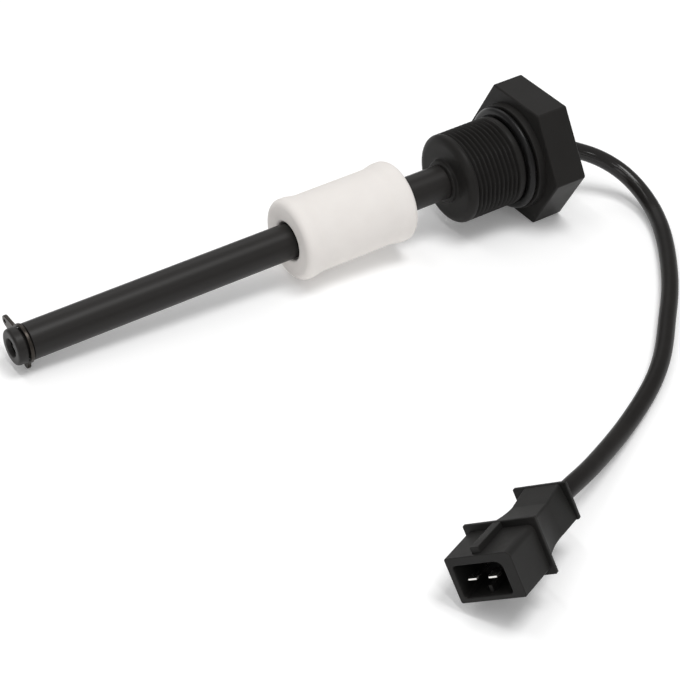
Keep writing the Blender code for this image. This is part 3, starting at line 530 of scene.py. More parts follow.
bush_end = HEX_LENGTH - POTTING_RECESS + BUSH_STAND_OUT
route_start = [
    sensor_frame @ Vector((x, 0.0, 0.0)) for x in (CABLE_END_IN_HEAD, bush_end, bush_end + HEAD_STRAIGHT)
]
route_end = [
    connector_frame @ Vector((CABLE_ENTRY[0], y, CABLE_ENTRY[1]))
    for y in (CONNECTOR_END + ENTRY_STRAIGHT, CONNECTOR_END, CHAMBER_END)
]
centreline = natural_spline(route_start + [Vector(p) for p in CABLE_ROUTE] + route_end, CABLE_POINT_SPACING)
cable_length = sum((b - a).length for a, b in zip(centreline, centreline[1:]))
print("cable length in metres:", round(cable_length, 4))

# %% [markdown]
# The real jacket is one round tube from end to end. A mesh tube could be swept by hand, but a curve with a
# round bevel keeps its centreline, so the library can measure its length and lay it another way.

# %% The cable as a curve


def cable_curve():
    """One open spline through the centreline, with a round bevel and closed ends."""
    line = bpy.data.curves.new("cable_jacket", "CURVE")
    line.dimensions = "3D"
    line.bevel_depth = CABLE_RADIUS
    line.bevel_resolution = 8
    line.use_fill_caps = True
    spline = line.splines.new("POLY")
    spline.points.add(len(centreline) - 1)
    for knot, point in zip(spline.points, centreline):
        knot.co = (*point, 1.0)
    line.materials.append(jacket_pvc)
    return placed("cable_jacket", line)


cable_jacket = cable_curve()

# %% [markdown]
# ## Shared tools for shapes
# Most of the sensor is turned: a profile of distance and radius, swung about the axis. A moulding has no
# knife edges, so the profile's corners are rounded first. The rest is lofted, which means outlines of equal
# point counts joined one after the other. Booleans join and hollow these forms where the real mould would.


# %% Outlines
NEARLY_STRAIGHT = math.radians(160)
LONGEST_CUT = 0.45


def arc(centre, radius, start, end, steps):
    angles = [start + (end - start) * i / steps for i in range(steps + 1)]
    return [(centre[0] + radius * math.cos(a), centre[1] + radius * math.sin(a)) for a in angles]


def softened(points, radius, closed=True, steps=3):
    """Replaces each corner of a profile by a small curve that starts a radius away from it."""
    count = len(points)
    result = []
    for i, here in enumerate(points):
        if not closed and i in (0, count - 1):
            result.append(here)
            continue
        corner = Vector(here)
        before = Vector(points[i - 1]) - corner
        after = Vector(points[(i + 1) % count]) - corner
        if before.angle(after) > NEARLY_STRAIGHT:
            result.append(here)
            continue
        start = corner + before * min(radius / before.length, LONGEST_CUT)
        end = corner + after * min(radius / after.length, LONGEST_CUT)
        for k in range(steps + 1):
            share = k / steps
            point = start * (1 - share) ** 2 + corner * 2 * share * (1 - share) + end * share ** 2
            result.append((point.x, point.y))
    return result


def rounded_box(left, right, bottom, top, radius, steps=4, upper_right=None):
    """A rounded rectangle; its upper right corner may have a radius of its own."""
    wide = upper_right or radius
    places = (
        (right - radius, bottom + radius, radius, -90),
        (right - wide, top - wide, wide, 0),
        (left + radius, top - radius, radius, 90),
        (left + radius, bottom + radius, radius, 180),
    )
    outline = []
    for across, up, size, start in places:
        outline += arc((across, up), size, math.radians(start), math.radians(start + 90), steps)
    return outline


print("a softened square has", len(softened([(0, 0), (1, 0), (1, 1), (0, 1)], 0.1)), "points")

# %% [markdown]
# A turned piece is a ring of points for each point of its profile, and a lofted one is a ring for each
# outline. The Screw modifier turns a profile too, but a Boolean needs closed solids, and these functions
# close their ends themselves. A bigger piece gets more sides, so that its highlight has no facets.

# %% Solids
SMALL_SIDES = 64
STEM_SIDES = 96
FLOAT_SIDES = 128
HEAD_SIDES = 144
THREAD_SIDES = 180


def solid(bm, name):
    """Turns a bmesh with its faces pointing outwards into an object."""
    mesh = bpy.data.meshes.new(name)
    bmesh.ops.recalc_face_normals(bm, faces=bm.faces)
    bm.to_mesh(mesh)
    bm.free()
    return placed(name, mesh)


def turned(name, profile, steps):
    """Swings a profile of (x, radius) points about X; a point on the axis becomes a pole."""
    bm = bmesh.new()
    rings = []
    for x, radius in profile:
        if radius == 0.0:
            rings.append([bm.verts.new((x, 0.0, 0.0))] * steps)
            continue
        circle = arc((0.0, 0.0), radius, 0.0, math.tau, steps)[:-1]
        rings.append([bm.verts.new((x, y, z)) for y, z in circle])
    pairs = list(zip(rings, rings[1:]))
    if profile[0][1] > 0.0:
        pairs.append((rings[-1], rings[0]))
    for near, far in pairs:
        for i in range(steps):
            j = (i + 1) % steps
            bm.faces.new(dict.fromkeys((near[i], near[j], far[j], far[i])))
    return solid(bm, name)


def lofted(name, sections):
    """Joins outlines of equal point counts one after the other, and closes both ends."""
    bm = bmesh.new()
    rings = [[bm.verts.new(point) for point in section] for section in sections]
    for near, far in zip(rings, rings[1:]):
        for i in range(len(near)):
            j = (i + 1) % len(near)
            bm.faces.new((near[i], near[j], far[j], far[i]))
    bm.faces.new(rings[0])
    bm.faces.new(rings[-1])
    return solid(bm, name)


def along_y(outline, y):
    return [(across, y, up) for across, up in outline]


def along_x(outline, x):
    return [(x, across, up) for across, up in outline]


print("sides of turned pieces:", SMALL_SIDES, "to", THREAD_SIDES)

# %% [markdown]
# A Boolean modifier adds or takes away a tool and stays live, so a form can be built up over several cells.
# Then one step turns it all into a plain mesh at its place. That mesh is shaded smooth and keeps the edges
# that are sharp on the real piece, and weighted normals keep a flat face flat beside a rounded edge. More
# subdivision would round those edges too, but with far more triangles.


# %% Joining, cutting and settling
def combine(piece, tool, operation):
    step = piece.modifiers.new(operation.lower(), "BOOLEAN")
    step.operation = operation
    step.object = tool
    step.solver = "EXACT"


def join(piece, tool):
    combine(piece, tool, "UNION")


def cut(piece, tool):
    combine(piece, tool, "DIFFERENCE")


def evaluated_mesh(piece):
    bpy.context.view_layer.update()
    graph = bpy.context.evaluated_depsgraph_get()
    return bpy.data.meshes.new_from_object(piece.evaluated_get(graph))


def settle(piece, place, finish, tools=(), crease=35.0):
    """Turns a piece and its modifiers into one plain mesh at its place, smooth but for its real edges."""
    mesh = evaluated_mesh(piece)
    name = piece.name
    for used in (piece, *tools):
        bpy.data.objects.remove(used, do_unlink=True)
    mesh.transform(place)
    mesh.materials.clear()
    mesh.materials.append(finish)
    mesh.shade_smooth()
    mesh.set_sharp_from_angle(angle=math.radians(crease))
    result = placed(name, mesh)
    weights = result.modifiers.new("weights", "WEIGHTED_NORMAL")
    weights.keep_sharp = True
    shaded = evaluated_mesh(result)
    result.modifiers.clear()
    result.data = shaded
    result.data.name = name
    return result


def show(piece, body, slot, *nodes):
    """The piece rides on a body and stands for these CAD nodes. The slot is not used."""
    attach(piece, body)
    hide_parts(*nodes)
    print(piece.name, "stands for", ", ".join(nodes))


show(cable_jacket, "root", "cable_jacket", "cable")

# %% [markdown]
# ## Hexagon head
# The head is the part that a 36 mm spanner turns. It is moulded with its collar and its threaded body in
# one shot, with a cup at the back for the potting. A six-sided cylinder could stand in for it, but moulded
# corners are round. So its outline has small arcs at the corners, and a Bevel rounds its two end edges.

# %% The hexagon and its cup
HEX_ACROSS_FLATS = 0.0360
HEX_CORNER_RADIUS = 0.0008
HEX_EDGE = 0.0005
CUP_RADIUS = 0.0080
CUP_FLOOR = 0.0020
CUP_FLARE = 0.0004
MOULD_CORNER = 0.0003
FINE_CORNER = 0.00025
STEM_HOLE_RADIUS = 0.00505
PAST_END = 0.001


def hexagon_outline():
    reach = (HEX_ACROSS_FLATS / 2 - HEX_CORNER_RADIUS) / math.cos(math.radians(30))
    outline = []
    for i in range(6):
        angle = math.radians(60 * i)
        centre = (reach * math.cos(angle), reach * math.sin(angle))
        outline += arc(centre, HEX_CORNER_RADIUS, angle - math.radians(30), angle + math.radians(30), 5)
    return outline


hexagon = lofted("plug_head", [along_x(hexagon_outline(), 0.0), along_x(hexagon_outline(), HEX_LENGTH)])
rounding = hexagon.modifiers.new("end_edges", "BEVEL")
rounding.width = HEX_EDGE
rounding.segments = 3
rounding.limit_method = "ANGLE"
rounding.angle_limit = math.radians(60)
cup = softened([
    (CUP_FLOOR, 0.0), (CUP_FLOOR, CUP_RADIUS), (HEX_LENGTH, CUP_RADIUS),
    (HEX_LENGTH + CUP_FLARE, CUP_RADIUS + CUP_FLARE), (HEX_LENGTH + PAST_END, CUP_RADIUS + CUP_FLARE),
    (HEX_LENGTH + PAST_END, 0.0),
], MOULD_CORNER, closed=False)
cup_tool = turned("cup", cup, HEAD_SIDES)
cut(hexagon, cup_tool)
print("hexagon across corners:", round(HEX_ACROSS_FLATS / math.cos(math.radians(30)), 4))

# %% [markdown]
# ## Threaded body
# The body carries a fine thread, behind a round nose that finds the tank's port. It could be a cylinder
# with a bump pattern, but the eye sees a thread's crests against the light at the body's edge. So the
# profile has a ring every 0.15 mm where the thread goes, fine enough for the nodes tree in the next step.

# %% The body's profile, with fine rings where the thread goes
COLLAR_RADIUS = 0.0154
COLLAR_LENGTH = 0.0022
RING_GROOVE_RADIUS = 0.0118
RING_GROOVE_END = -0.0052
COLLAR_SEAT_RADIUS = 0.0144
THREAD_RADIUS = 0.0130
THREAD_TOP = -0.0060
THREAD_START = -0.0220
NOSE_FACE = -0.0238
NOSE_FACE_RADIUS = 0.0106
BOSS_FACE = -0.0253
BOSS_RADIUS = 0.0063
BOSS_CORNER = 0.0008
RING_SPACING = 0.00015
HEAD_OVERLAP = 0.0005


def body_profile():
    """From inside the head over collar, ring groove, thread and nose to the boss round the stem."""
    front = softened([
        (HEAD_OVERLAP, STEM_HOLE_RADIUS), (HEAD_OVERLAP, COLLAR_RADIUS), (-COLLAR_LENGTH, COLLAR_RADIUS),
        (-COLLAR_LENGTH, COLLAR_SEAT_RADIUS), (-COLLAR_LENGTH + MOULD_CORNER, RING_GROOVE_RADIUS),
        (RING_GROOVE_END, RING_GROOVE_RADIUS), (RING_GROOVE_END, THREAD_RADIUS),
        (THREAD_TOP, THREAD_RADIUS),
    ], MOULD_CORNER, closed=False)
    rings = round((THREAD_TOP - THREAD_START) / RING_SPACING)
    thread = [(THREAD_TOP - i * RING_SPACING, THREAD_RADIUS) for i in range(1, rings)]
    nose = []
    for i in range(13):
        angle = math.radians(90) * i / 12
        x = THREAD_START + (NOSE_FACE - THREAD_START) * math.sin(angle)
        nose.append((x, NOSE_FACE_RADIUS + (THREAD_RADIUS - NOSE_FACE_RADIUS) * math.cos(angle)))
    boss = softened([
        nose[-1], (NOSE_FACE, BOSS_RADIUS), (BOSS_FACE, BOSS_RADIUS), (BOSS_FACE, STEM_HOLE_RADIUS),
    ], BOSS_CORNER, closed=False, steps=5)
    return front + thread + nose + boss[1:]


body = turned("plug_body", body_profile(), THREAD_SIDES)
print("threaded body:", len(body.data.vertices), "points before the thread is cut")

# %% [markdown]
# ## Thread
# The thread has a pitch of 1.5 mm, and a tank's port follows it like a ramp. It can be swept along a helix
# or cut by a Boolean, but both leave thin slivers where it runs out. Here a Geometry Nodes tree moves each
# point inwards by a rule: how deep depends on how far the point is from the helix's crest, and the depth
# fades at both ends, as a real run-out does.

# %% The rule that cuts the thread
THREAD_INPUTS = {"Pitch": 0.0015, "Depth": 0.00092, "First": -0.0217, "Last": -0.0064, "Run Out": 0.0010}
CREST_FLAT = 0.12
ROOT_FLAT = 0.22
SKIN_DEPTH = 0.0001


def thread_tree(finish):
    """Moves points towards X by the depth of a right-hand vee thread at their place."""
    tree = bpy.data.node_groups.new("cut_thread", "GeometryNodeTree")
    face = tree.interface
    face.new_socket("Geometry", in_out="INPUT", socket_type="NodeSocketGeometry")
    for name, value in THREAD_INPUTS.items():
        face.new_socket(name, in_out="INPUT", socket_type="NodeSocketFloat").default_value = value
    face.new_socket("Geometry", in_out="OUTPUT", socket_type="NodeSocketGeometry")
    source = add(tree, "NodeGroupInput").outputs

    place = add(tree, "GeometryNodeInputPosition").outputs["Position"]
    parts = add(tree, "ShaderNodeSeparateXYZ", None, {"Vector": place}).outputs
    turns = compute(tree, "DIVIDE", compute(tree, "ARCTAN2", parts["Z"], parts["Y"]), math.tau)
    pitches = compute(tree, "DIVIDE", parts["X"], source["Pitch"])
    phase = compute(tree, "FRACT", compute(tree, "SUBTRACT", pitches, turns))
    from_root = compute(tree, "ABSOLUTE", compute(tree, "MULTIPLY_ADD", phase, 2.0, -1.0))
    flank = ramp(tree, from_root, ROOT_FLAT, 1.0 - CREST_FLAT, 1.0, 0.0)
    from_first = compute(tree, "SUBTRACT", parts["X"], source["First"])
    run_in = ramp(tree, from_first, 0.0, source["Run Out"], kind="SMOOTHSTEP")
    to_last = compute(tree, "SUBTRACT", source["Last"], parts["X"])
    run_out = ramp(tree, to_last, 0.0, source["Run Out"], kind="SMOOTHSTEP")
    full_depth = compute(tree, "MULTIPLY", flank, source["Depth"])
    depth = compute(tree, "MULTIPLY", full_depth, compute(tree, "MULTIPLY", run_in, run_out))
    radial = add(tree, "ShaderNodeCombineXYZ", None, {"Y": parts["Y"], "Z": parts["Z"]}).outputs["Vector"]
    outward = add(tree, "ShaderNodeVectorMath", {"operation": "NORMALIZE"}, {0: radial}).outputs["Vector"]
    inward = compute(tree, "MULTIPLY", depth, -1.0)
    shift = add(
        tree, "ShaderNodeVectorMath", {"operation": "SCALE"}, {0: outward, "Scale": inward}
    ).outputs["Vector"]
    radius = add(tree, "ShaderNodeVectorMath", {"operation": "LENGTH"}, {0: radial}).outputs["Value"]
    outer = compute(tree, "GREATER_THAN", radius, THREAD_RADIUS - SKIN_DEPTH)
    moved = add(
        tree, "GeometryNodeSetPosition", None,
        {"Geometry": source["Geometry"], "Selection": outer, "Offset": shift},
    ).outputs["Geometry"]
    real = add(tree, "GeometryNodeRealizeInstances", None, {"Geometry": moved}).outputs["Geometry"]
    painted = add(
        tree, "GeometryNodeSetMaterial", None, {"Geometry": real, "Material": finish}
    ).outputs["Geometry"]
    add(tree, "NodeGroupOutput", None, {"Geometry": painted})
    return tree


def set_inputs(step, values):
    """A modifier's inputs are keyed by their sockets' identifiers, not by their names."""
    for item in step.node_group.interface.items_tree:
        if item.item_type == "SOCKET" and item.in_out == "INPUT" and item.name in values:
            step[item.identifier] = values[item.name]


threading = body.modifiers.new("thread", "NODES")
threading.node_group = thread_tree(plug_nylon)
set_inputs(threading, THREAD_INPUTS)
body_threaded = evaluated_mesh(body)
body.modifiers.clear()
body.data = body_threaded
full_start = THREAD_INPUTS["First"] + THREAD_INPUTS["Pitch"]
full_end = THREAD_INPUTS["Last"] - THREAD_INPUTS["Pitch"]
radii = [math.hypot(v.co.y, v.co.z) for v in body_threaded.vertices if full_start < v.co.x < full_end]
root_radius = min(radius for radius in radii if radius > BOSS_RADIUS)
print("thread crest and root radius:", round(max(radii), 5), round(root_radius, 5))

# %% [markdown]
# Head and body come out of the mould as one piece, with no line between them. They could stay two objects
# that touch, but then each would have a hidden face inside. So a Boolean joins them, and one more opens the
# hole that the stem passes through.

# %% One moulding from head and body
MOULDING_CREASE = 32.0
join(hexagon, body)
head_bore = turned("head_bore", [
    (-PAST_END, 0.0), (-PAST_END, STEM_HOLE_RADIUS),
    (CUP_FLOOR + HEAD_OVERLAP, STEM_HOLE_RADIUS), (CUP_FLOOR + HEAD_OVERLAP, 0.0),
], HEAD_SIDES)
cut(hexagon, head_bore)
plug_head = settle(hexagon, sensor_frame, plug_nylon, (cup_tool, body, head_bore), MOULDING_CREASE)
show(plug_head, "root", "plug", "threaded_plug")
print("plug faces:", len(plug_head.data.polygons))

# %% [markdown]
# ## Sealing ring
# The ring is a rubber O-ring in the groove beside the collar, pressed between the collar and the tank. A
# torus would be round in section, but this ring is squeezed by its narrow groove and stands out of it. It
# also has a fine line of flash round its outside, where the two halves of its mould met. So its section is
# drawn as a flattened circle with a small ridge, and turned.

# %% The O-ring
RING_STATION = -0.00345
RING_RADIUS = 0.0134
RING_HALF_WIDTH = 0.00115
RING_HALF_HEIGHT = 0.00155
RING_POINTS = 48
FLASH_HEIGHT = 0.00004


def ring_section():
    section = []
    for i in range(RING_POINTS):
        angle = math.tau * i / RING_POINTS
        ridge = FLASH_HEIGHT if i == RING_POINTS // 4 else 0.0
        across = RING_HALF_WIDTH * math.cos(angle)
        up = (RING_HALF_HEIGHT + ridge) * math.sin(angle)
        section.append((RING_STATION + across, RING_RADIUS + up))
    return section


ring = settle(turned("o_ring", ring_section(), HEAD_SIDES), sensor_frame, nitrile, crease=60.0)
show(ring, "root", "rubber", "sealing_ring")

# %% [markdown]
# ## Stem
# The stem is a tube that the float slides on, closed at its tip by a plug behind a lip. It could be a
# cylinder, but its end is what the eye stops at: a well rounded edge, the clip's groove and the shadow in
# its mouth. So it is turned from a profile, with enough sides to have no facets in its long highlight.

# %% The stem's tube and its tip plug
STEM_RADIUS = 0.0050
STEM_BORE_RADIUS = 0.0032
STEM_REACH = 0.1596
CLIP_STATION = 0.15595
CLIP_THICKNESS = 0.0010
CLIP_GROOVE_RADIUS = 0.0042
GROOVE_TIP_SIDE = -0.15695
GROOVE_HEAD_SIDE = -0.15515
LIP_BACK = -0.1584
LIP_BACK_RADIUS = 0.0021
LIP_FRONT_RADIUS = 0.0027
STEM_FLANGE_START = 0.0023
STEM_FLANGE_END = 0.0035
STEM_FLANGE_RADIUS = 0.0066
# Each pair is a way back from the stem's end and the radius there.
TIP_ROUNDING = ((0.0, 0.0043), (0.0002, 0.0048), (0.0008, STEM_RADIUS))

stem_profile = softened([
    (LIP_BACK, STEM_BORE_RADIUS), (LIP_BACK, LIP_BACK_RADIUS), (-STEM_REACH, LIP_FRONT_RADIUS),
    *[(-STEM_REACH + back, radius) for back, radius in TIP_ROUNDING],
    (GROOVE_TIP_SIDE, STEM_RADIUS), (GROOVE_TIP_SIDE, CLIP_GROOVE_RADIUS),
    (GROOVE_HEAD_SIDE, CLIP_GROOVE_RADIUS), (GROOVE_HEAD_SIDE, STEM_RADIUS),
    (STEM_FLANGE_START, STEM_RADIUS), (STEM_FLANGE_START, STEM_FLANGE_RADIUS),
    (STEM_FLANGE_END, STEM_FLANGE_RADIUS), (STEM_FLANGE_END, STEM_BORE_RADIUS),
], FINE_CORNER)
stem = settle(turned("stem_sleeve", stem_profile, STEM_SIDES), sensor_frame, stem_acetal)
show(stem, "root", "stem", "stem_tube")

TIP_FACE = -0.1581
TIP_PLUG_RADIUS = 0.0029
TIP_PLUG_END = TIP_FACE + 0.0050
# The plug's crown: each pair is a height over its face and the radius there.
TIP_CROWN = ((0.0007, 0.0), (0.00065, 0.0007), (0.0004, 0.0013), (0.0, 0.0017))
tip_profile = softened([
    *[(TIP_FACE - height, radius) for height, radius in TIP_CROWN],
    (TIP_FACE, TIP_PLUG_RADIUS), (TIP_PLUG_END, TIP_PLUG_RADIUS), (TIP_PLUG_END, 0.0),
], MOULD_CORNER, closed=False)
tip = settle(turned("tip_stopper", tip_profile, SMALL_SIDES), sensor_frame, stem_acetal)
show(tip, "root", "stem", "tip_plug")

# %% [markdown]
# ## Retaining clip
# The clip is stamped from steel strip and pushed into the stem's groove, so the float can't slide off. Its
# two ears are what pliers hold, and the long one has a hole for them. A torus would look like bent wire. So
# the clip is lofted from its stamped outline, and a Bevel breaks its edges a little, because those catch
# the light.

# %% The stamped clip
CLIP_OUTER_RADIUS = 0.0054
EAR_BASE_WIDTH = 0.0044
LONG_EAR = (0.0111, 0.0032, math.radians(8))
SHORT_EAR = (0.0074, 0.0030, math.radians(263))
PLIER_HOLE_RADIUS = 0.0006
CLIP_SLACK = 0.0003
STAMPED_EDGE = 0.00018


def ear(reach, width, direction):
    """The rounded end of an ear that stands out along a direction, counter-clockwise."""
    middle = reach - width / 2
    place = (middle * math.cos(direction), middle * math.sin(direction))
    return arc(place, width / 2, direction - math.pi / 2, direction + math.pi / 2, 10)


def clip_outline():
    """Out round both ears, and back along the inside of the open ring."""
    inner = CLIP_GROOVE_RADIUS + CLIP_SLACK
    base = math.asin(EAR_BASE_WIDTH / 2 / CLIP_OUTER_RADIUS)
    gap_start = SHORT_EAR[2] + base
    gap_end = math.tau + LONG_EAR[2] - base
    outline = ear(*LONG_EAR)
    outline += arc((0.0, 0.0), CLIP_OUTER_RADIUS, LONG_EAR[2] + base, SHORT_EAR[2] - base, 60)
    outline += ear(*SHORT_EAR)
    outline.append((CLIP_OUTER_RADIUS * math.cos(gap_start), CLIP_OUTER_RADIUS * math.sin(gap_start)))
    outline += arc((0.0, 0.0), inner, gap_start, gap_end - math.tau, 72)
    outline.append((CLIP_OUTER_RADIUS * math.cos(gap_end), CLIP_OUTER_RADIUS * math.sin(gap_end)))
    return outline


clip = lofted("circlip", [
    along_x(clip_outline(), -CLIP_STATION - CLIP_THICKNESS / 2),
    along_x(clip_outline(), -CLIP_STATION + CLIP_THICKNESS / 2),
])
stamped = clip.modifiers.new("stamped_edges", "BEVEL")
stamped.width = STAMPED_EDGE
stamped.segments = 3
stamped.limit_method = "ANGLE"
stamped.angle_limit = math.radians(60)
hole_reach = LONG_EAR[0] - LONG_EAR[1] / 2
hole_place = (hole_reach * math.cos(LONG_EAR[2]), hole_reach * math.sin(LONG_EAR[2]))
hole_outline = arc(hole_place, PLIER_HOLE_RADIUS, 0.0, math.tau, 24)[:-1]
plier_hole = lofted("plier_hole", [
    along_x(hole_outline, -CLIP_STATION - CLIP_THICKNESS),
    along_x(hole_outline, -CLIP_STATION + CLIP_THICKNESS),
])
cut(clip, plier_hole)
clip = settle(clip, sensor_frame, spring_steel, (plier_hole,))
show(clip, "root", "clip_steel", "retaining_clip")

# %% [markdown]
# ## Float
# The float is foamed in a mould, round the ring magnet. It is slightly thicker at both ends, where the
# skin is denser, and its ends are well rounded. A cylinder with a Bevel would miss that slow waist, so the
# profile is drawn out and turned, with the magnet's groove inside the bore. It rides on the sliding body.

# %% The float
FLOAT_WAIST_RADIUS = 0.0110
FLOAT_RIM_RADIUS = 0.0116
FLOAT_RIM_WIDTH = 0.0030
FLOAT_RIM_BLEND = 0.0040
FLOAT_EDGE_RADIUS = 0.0020
FLOAT_LENGTH = 0.0359
FLOAT_FRONT = -0.0763
FLOAT_MIDDLE = FLOAT_FRONT + FLOAT_LENGTH / 2
FLOAT_BORE_RADIUS = 0.0055
BORE_EDGE = 0.0008
POCKET_HALF = 0.0053
POCKET_RADIUS = 0.0083


def float_profile():
    """One half from the waist to the magnet's pocket, and its mirror image."""
    half = FLOAT_LENGTH / 2
    right = []
    for i in range(13):
        share = i / 12
        ease = share * share * (3 - 2 * share)
        x = half - FLOAT_RIM_WIDTH - FLOAT_RIM_BLEND + share * FLOAT_RIM_BLEND
        right.append((x, FLOAT_WAIST_RADIUS + ease * (FLOAT_RIM_RADIUS - FLOAT_WAIST_RADIUS)))
    centre = (half - FLOAT_EDGE_RADIUS, FLOAT_RIM_RADIUS - FLOAT_EDGE_RADIUS)
    right += arc(centre, FLOAT_EDGE_RADIUS, math.radians(90), 0.0, 12)
    bore_centre = (half - BORE_EDGE, FLOAT_BORE_RADIUS + BORE_EDGE)
    right += arc(bore_centre, BORE_EDGE, 0.0, math.radians(-90), 6)
    right += [(POCKET_HALF, FLOAT_BORE_RADIUS), (POCKET_HALF, POCKET_RADIUS)]
    return right + [(-x, radius) for x, radius in reversed(right)]


float_place = sensor_frame @ Matrix.Translation((FLOAT_MIDDLE, 0.0, 0.0))
float_shell = settle(turned("float_shell", float_profile(), FLOAT_SIDES), float_place, float_foam)
show(float_shell, "float", "float", "float_body")

# %% [markdown]
# ## Back of the head
# Resin poured into the cup seals the cable and the stem's flange. Liquid resin creeps up the walls that it
# touches, and it stays like that when it sets. A flat disc would miss that, so the face's profile rises to
# both walls, like coffee in a cup. A rubber bush round the cable stops that hard face from nicking the
# jacket.

# %% Potting and bush
CABLE_HOLE_RADIUS = 0.0027
BUSH_RADIUS = 0.0040
BUSH_LENGTH = 0.0021
BUSH_CHAMFER = 0.0004
BUSH_LIP = 0.0005
POTTING_FLOOR = 0.0038
POTTING_GAP = 0.0001
UNDER_BUSH = 0.0003
CREEP_HEIGHT = 0.00035
CREEP_RATE = 12
potting_face = HEX_LENGTH - POTTING_RECESS
bush_start = bush_end - BUSH_LENGTH


def potting_profile():
    inner, outer = BUSH_RADIUS + POTTING_GAP, CUP_RADIUS - POTTING_GAP
    face = []
    for i in range(17):
        share = i / 16
        creep = CREEP_HEIGHT * (math.exp(-CREEP_RATE * share) + math.exp(-CREEP_RATE * (1 - share)))
        face.append((potting_face + creep, outer + (inner - outer) * share))
    return [
        (POTTING_FLOOR, CABLE_HOLE_RADIUS), (POTTING_FLOOR, outer), *face,
        (bush_start - UNDER_BUSH, inner), (bush_start - UNDER_BUSH, CABLE_HOLE_RADIUS),
    ]


potting = settle(turned("potting_fill", potting_profile(), STEM_SIDES), sensor_frame, potting_resin)
show(potting, "root", "potting", "potting_compound")
bush_profile = softened([
    (bush_start, CABLE_HOLE_RADIUS), (bush_start, BUSH_RADIUS), (bush_end - BUSH_CHAMFER, BUSH_RADIUS),
    (bush_end, BUSH_RADIUS - BUSH_LIP), (bush_end, CABLE_HOLE_RADIUS),
], FINE_CORNER)
bush = settle(turned("cable_bush", bush_profile, SMALL_SIDES), sensor_frame, nitrile)
show(bush, "root", "rubber", "cable_grommet")

# %% [markdown]
# ## Connector housing
# The housing is one nylon moulding: a shroud round the two tabs, a rib that guides and latches the other
# half, a flange, a shoulder that runs in to a neck, and a second flange where the fingers pull. Plain boxes
# would give knife edges. So each form is a rounded bar along the connector's own axis, with its end edges
# rounded too. The shroud's upper right corner is softer than its others, as on the real one.

# %% Rounded bars
EDGE = 0.0002
LEAST_CORNER_SHARE = 0.3
FLANGE_CORNER = 0.0004


def inset(box, distance, corner, upper_right=None):
    """The outline of a box (left, right, bottom, top), drawn in by a distance."""
    left, right, bottom, top = box
    size = max(corner - distance, corner * LEAST_CORNER_SHARE)
    wide = upper_right - distance if upper_right else None
    sides = (left + distance, right - distance, bottom + distance, top - distance)
    return rounded_box(*sides, size, upper_right=wide)


def soft_bar(name, box, start, end, corner=FLANGE_CORNER, round_end=True, upper_right=None):
    """A rounded rectangle (left, right, bottom, top) carried along Y, with quarter-round end edges."""
    angles = [math.radians(a) for a in (0, 30, 60, 90)]
    steps = [(EDGE * (1 - math.cos(a)), EDGE * (1 - math.sin(a))) for a in angles]
    closing = reversed(steps) if round_end else [(0.0, 0.0)]
    sections = [along_y(inset(box, gap, corner, upper_right), start + depth) for depth, gap in steps]
    sections += [along_y(inset(box, gap, corner, upper_right), end - depth) for depth, gap in closing]
    return lofted(name, sections)


SHROUD = (-0.0092, 0.0085, -0.0059, 0.0057)
FRONT_FLANGE = (-0.0102, 0.0096, -0.0074, 0.0074)
LATCH_RIB = (-0.00185, 0.00045, 0.0046, 0.0073)
REAR_FLANGE = (-0.0075, 0.0072, -0.0041, 0.0058)
FLANGE_MIDDLE = 0.0129
FLANGE_HALF = 0.0005
RIB_START = 0.0010
REAR_FLANGE_START = 0.0322
BODY_CORNER = 0.0005
SOFT_CORNER = 0.0015
RIB_CORNER = 0.0002
housing = soft_bar(
    "connector_shell", SHROUD, 0.0, FLANGE_MIDDLE, BODY_CORNER, round_end=False, upper_right=SOFT_CORNER
)
front_flange = soft_bar(
    "front_flange", FRONT_FLANGE, FLANGE_MIDDLE - FLANGE_HALF, FLANGE_MIDDLE + FLANGE_HALF
)
latch_rib = soft_bar("latch_rib", LATCH_RIB, RIB_START, FLANGE_MIDDLE, RIB_CORNER, round_end=False)
rear_flange = soft_bar("rear_flange", REAR_FLANGE, REAR_FLANGE_START, CONNECTOR_END)
print("connector length:", CONNECTOR_END)

# %% [markdown]
# Behind the flange the housing narrows fast and then runs level to the second flange, so that fingers find
# a hold. A straight taper would look like a funnel. So the sections between shoulder and neck follow a
# parabola, and the neck's right side leans out a little towards its foot.

# %% Shoulder and neck
NECK_START = 0.0250
NECK_END = 0.0327
SHOULDER_BOX = (-0.0083, 0.0083, -0.0054, 0.0056)
NECK_BOX = (-0.0044, 0.0056, -0.0040, 0.0046)
NECK_END_BOX = (-0.0044, 0.0056, -0.0040, 0.0057)
NECK_LEAN = 0.0011


def leaned(outline, lean):
    """Moves the right side out at its foot, as the neck's right side stands in the mould."""
    height = NECK_BOX[3] - NECK_BOX[2]
    return [(x + lean * (NECK_BOX[3] - z) / height if x > 0 else x, z) for x, z in outline]


def shoulder_and_neck():
    """The box's sides run in along a parabola, fast at the shoulder and level at the neck."""
    sections = []
    for step in range(25):
        share = step / 24
        left_over = (1 - share) ** 2
        box = [neck + (shoulder - neck) * left_over for neck, shoulder in zip(NECK_BOX, SHOULDER_BOX)]
        outline = leaned(inset(box, 0.0, BODY_CORNER), NECK_LEAN * share)
        sections.append(along_y(outline, FLANGE_MIDDLE + (NECK_START - FLANGE_MIDDLE) * share))
    sections.append(along_y(leaned(inset(NECK_END_BOX, 0.0, BODY_CORNER), NECK_LEAN), NECK_END))
    return lofted("shoulder_and_neck", sections)


neck = shoulder_and_neck()
for form in (front_flange, latch_rib, neck, rear_flange):
    join(housing, form)
print("neck width and height:", NECK_BOX[1] - NECK_BOX[0], NECK_BOX[3] - NECK_BOX[2])

# %% [markdown]
# The mould's cores leave the mouth, a key on its floor, a slot and a round way behind each tab, a chamber
# for the two cores and the hole for the cable. The housing could be a block with a dark face, but light
# falls into the real mouth and fades there. So the same cores are made here as solids and cut out one by
# one.

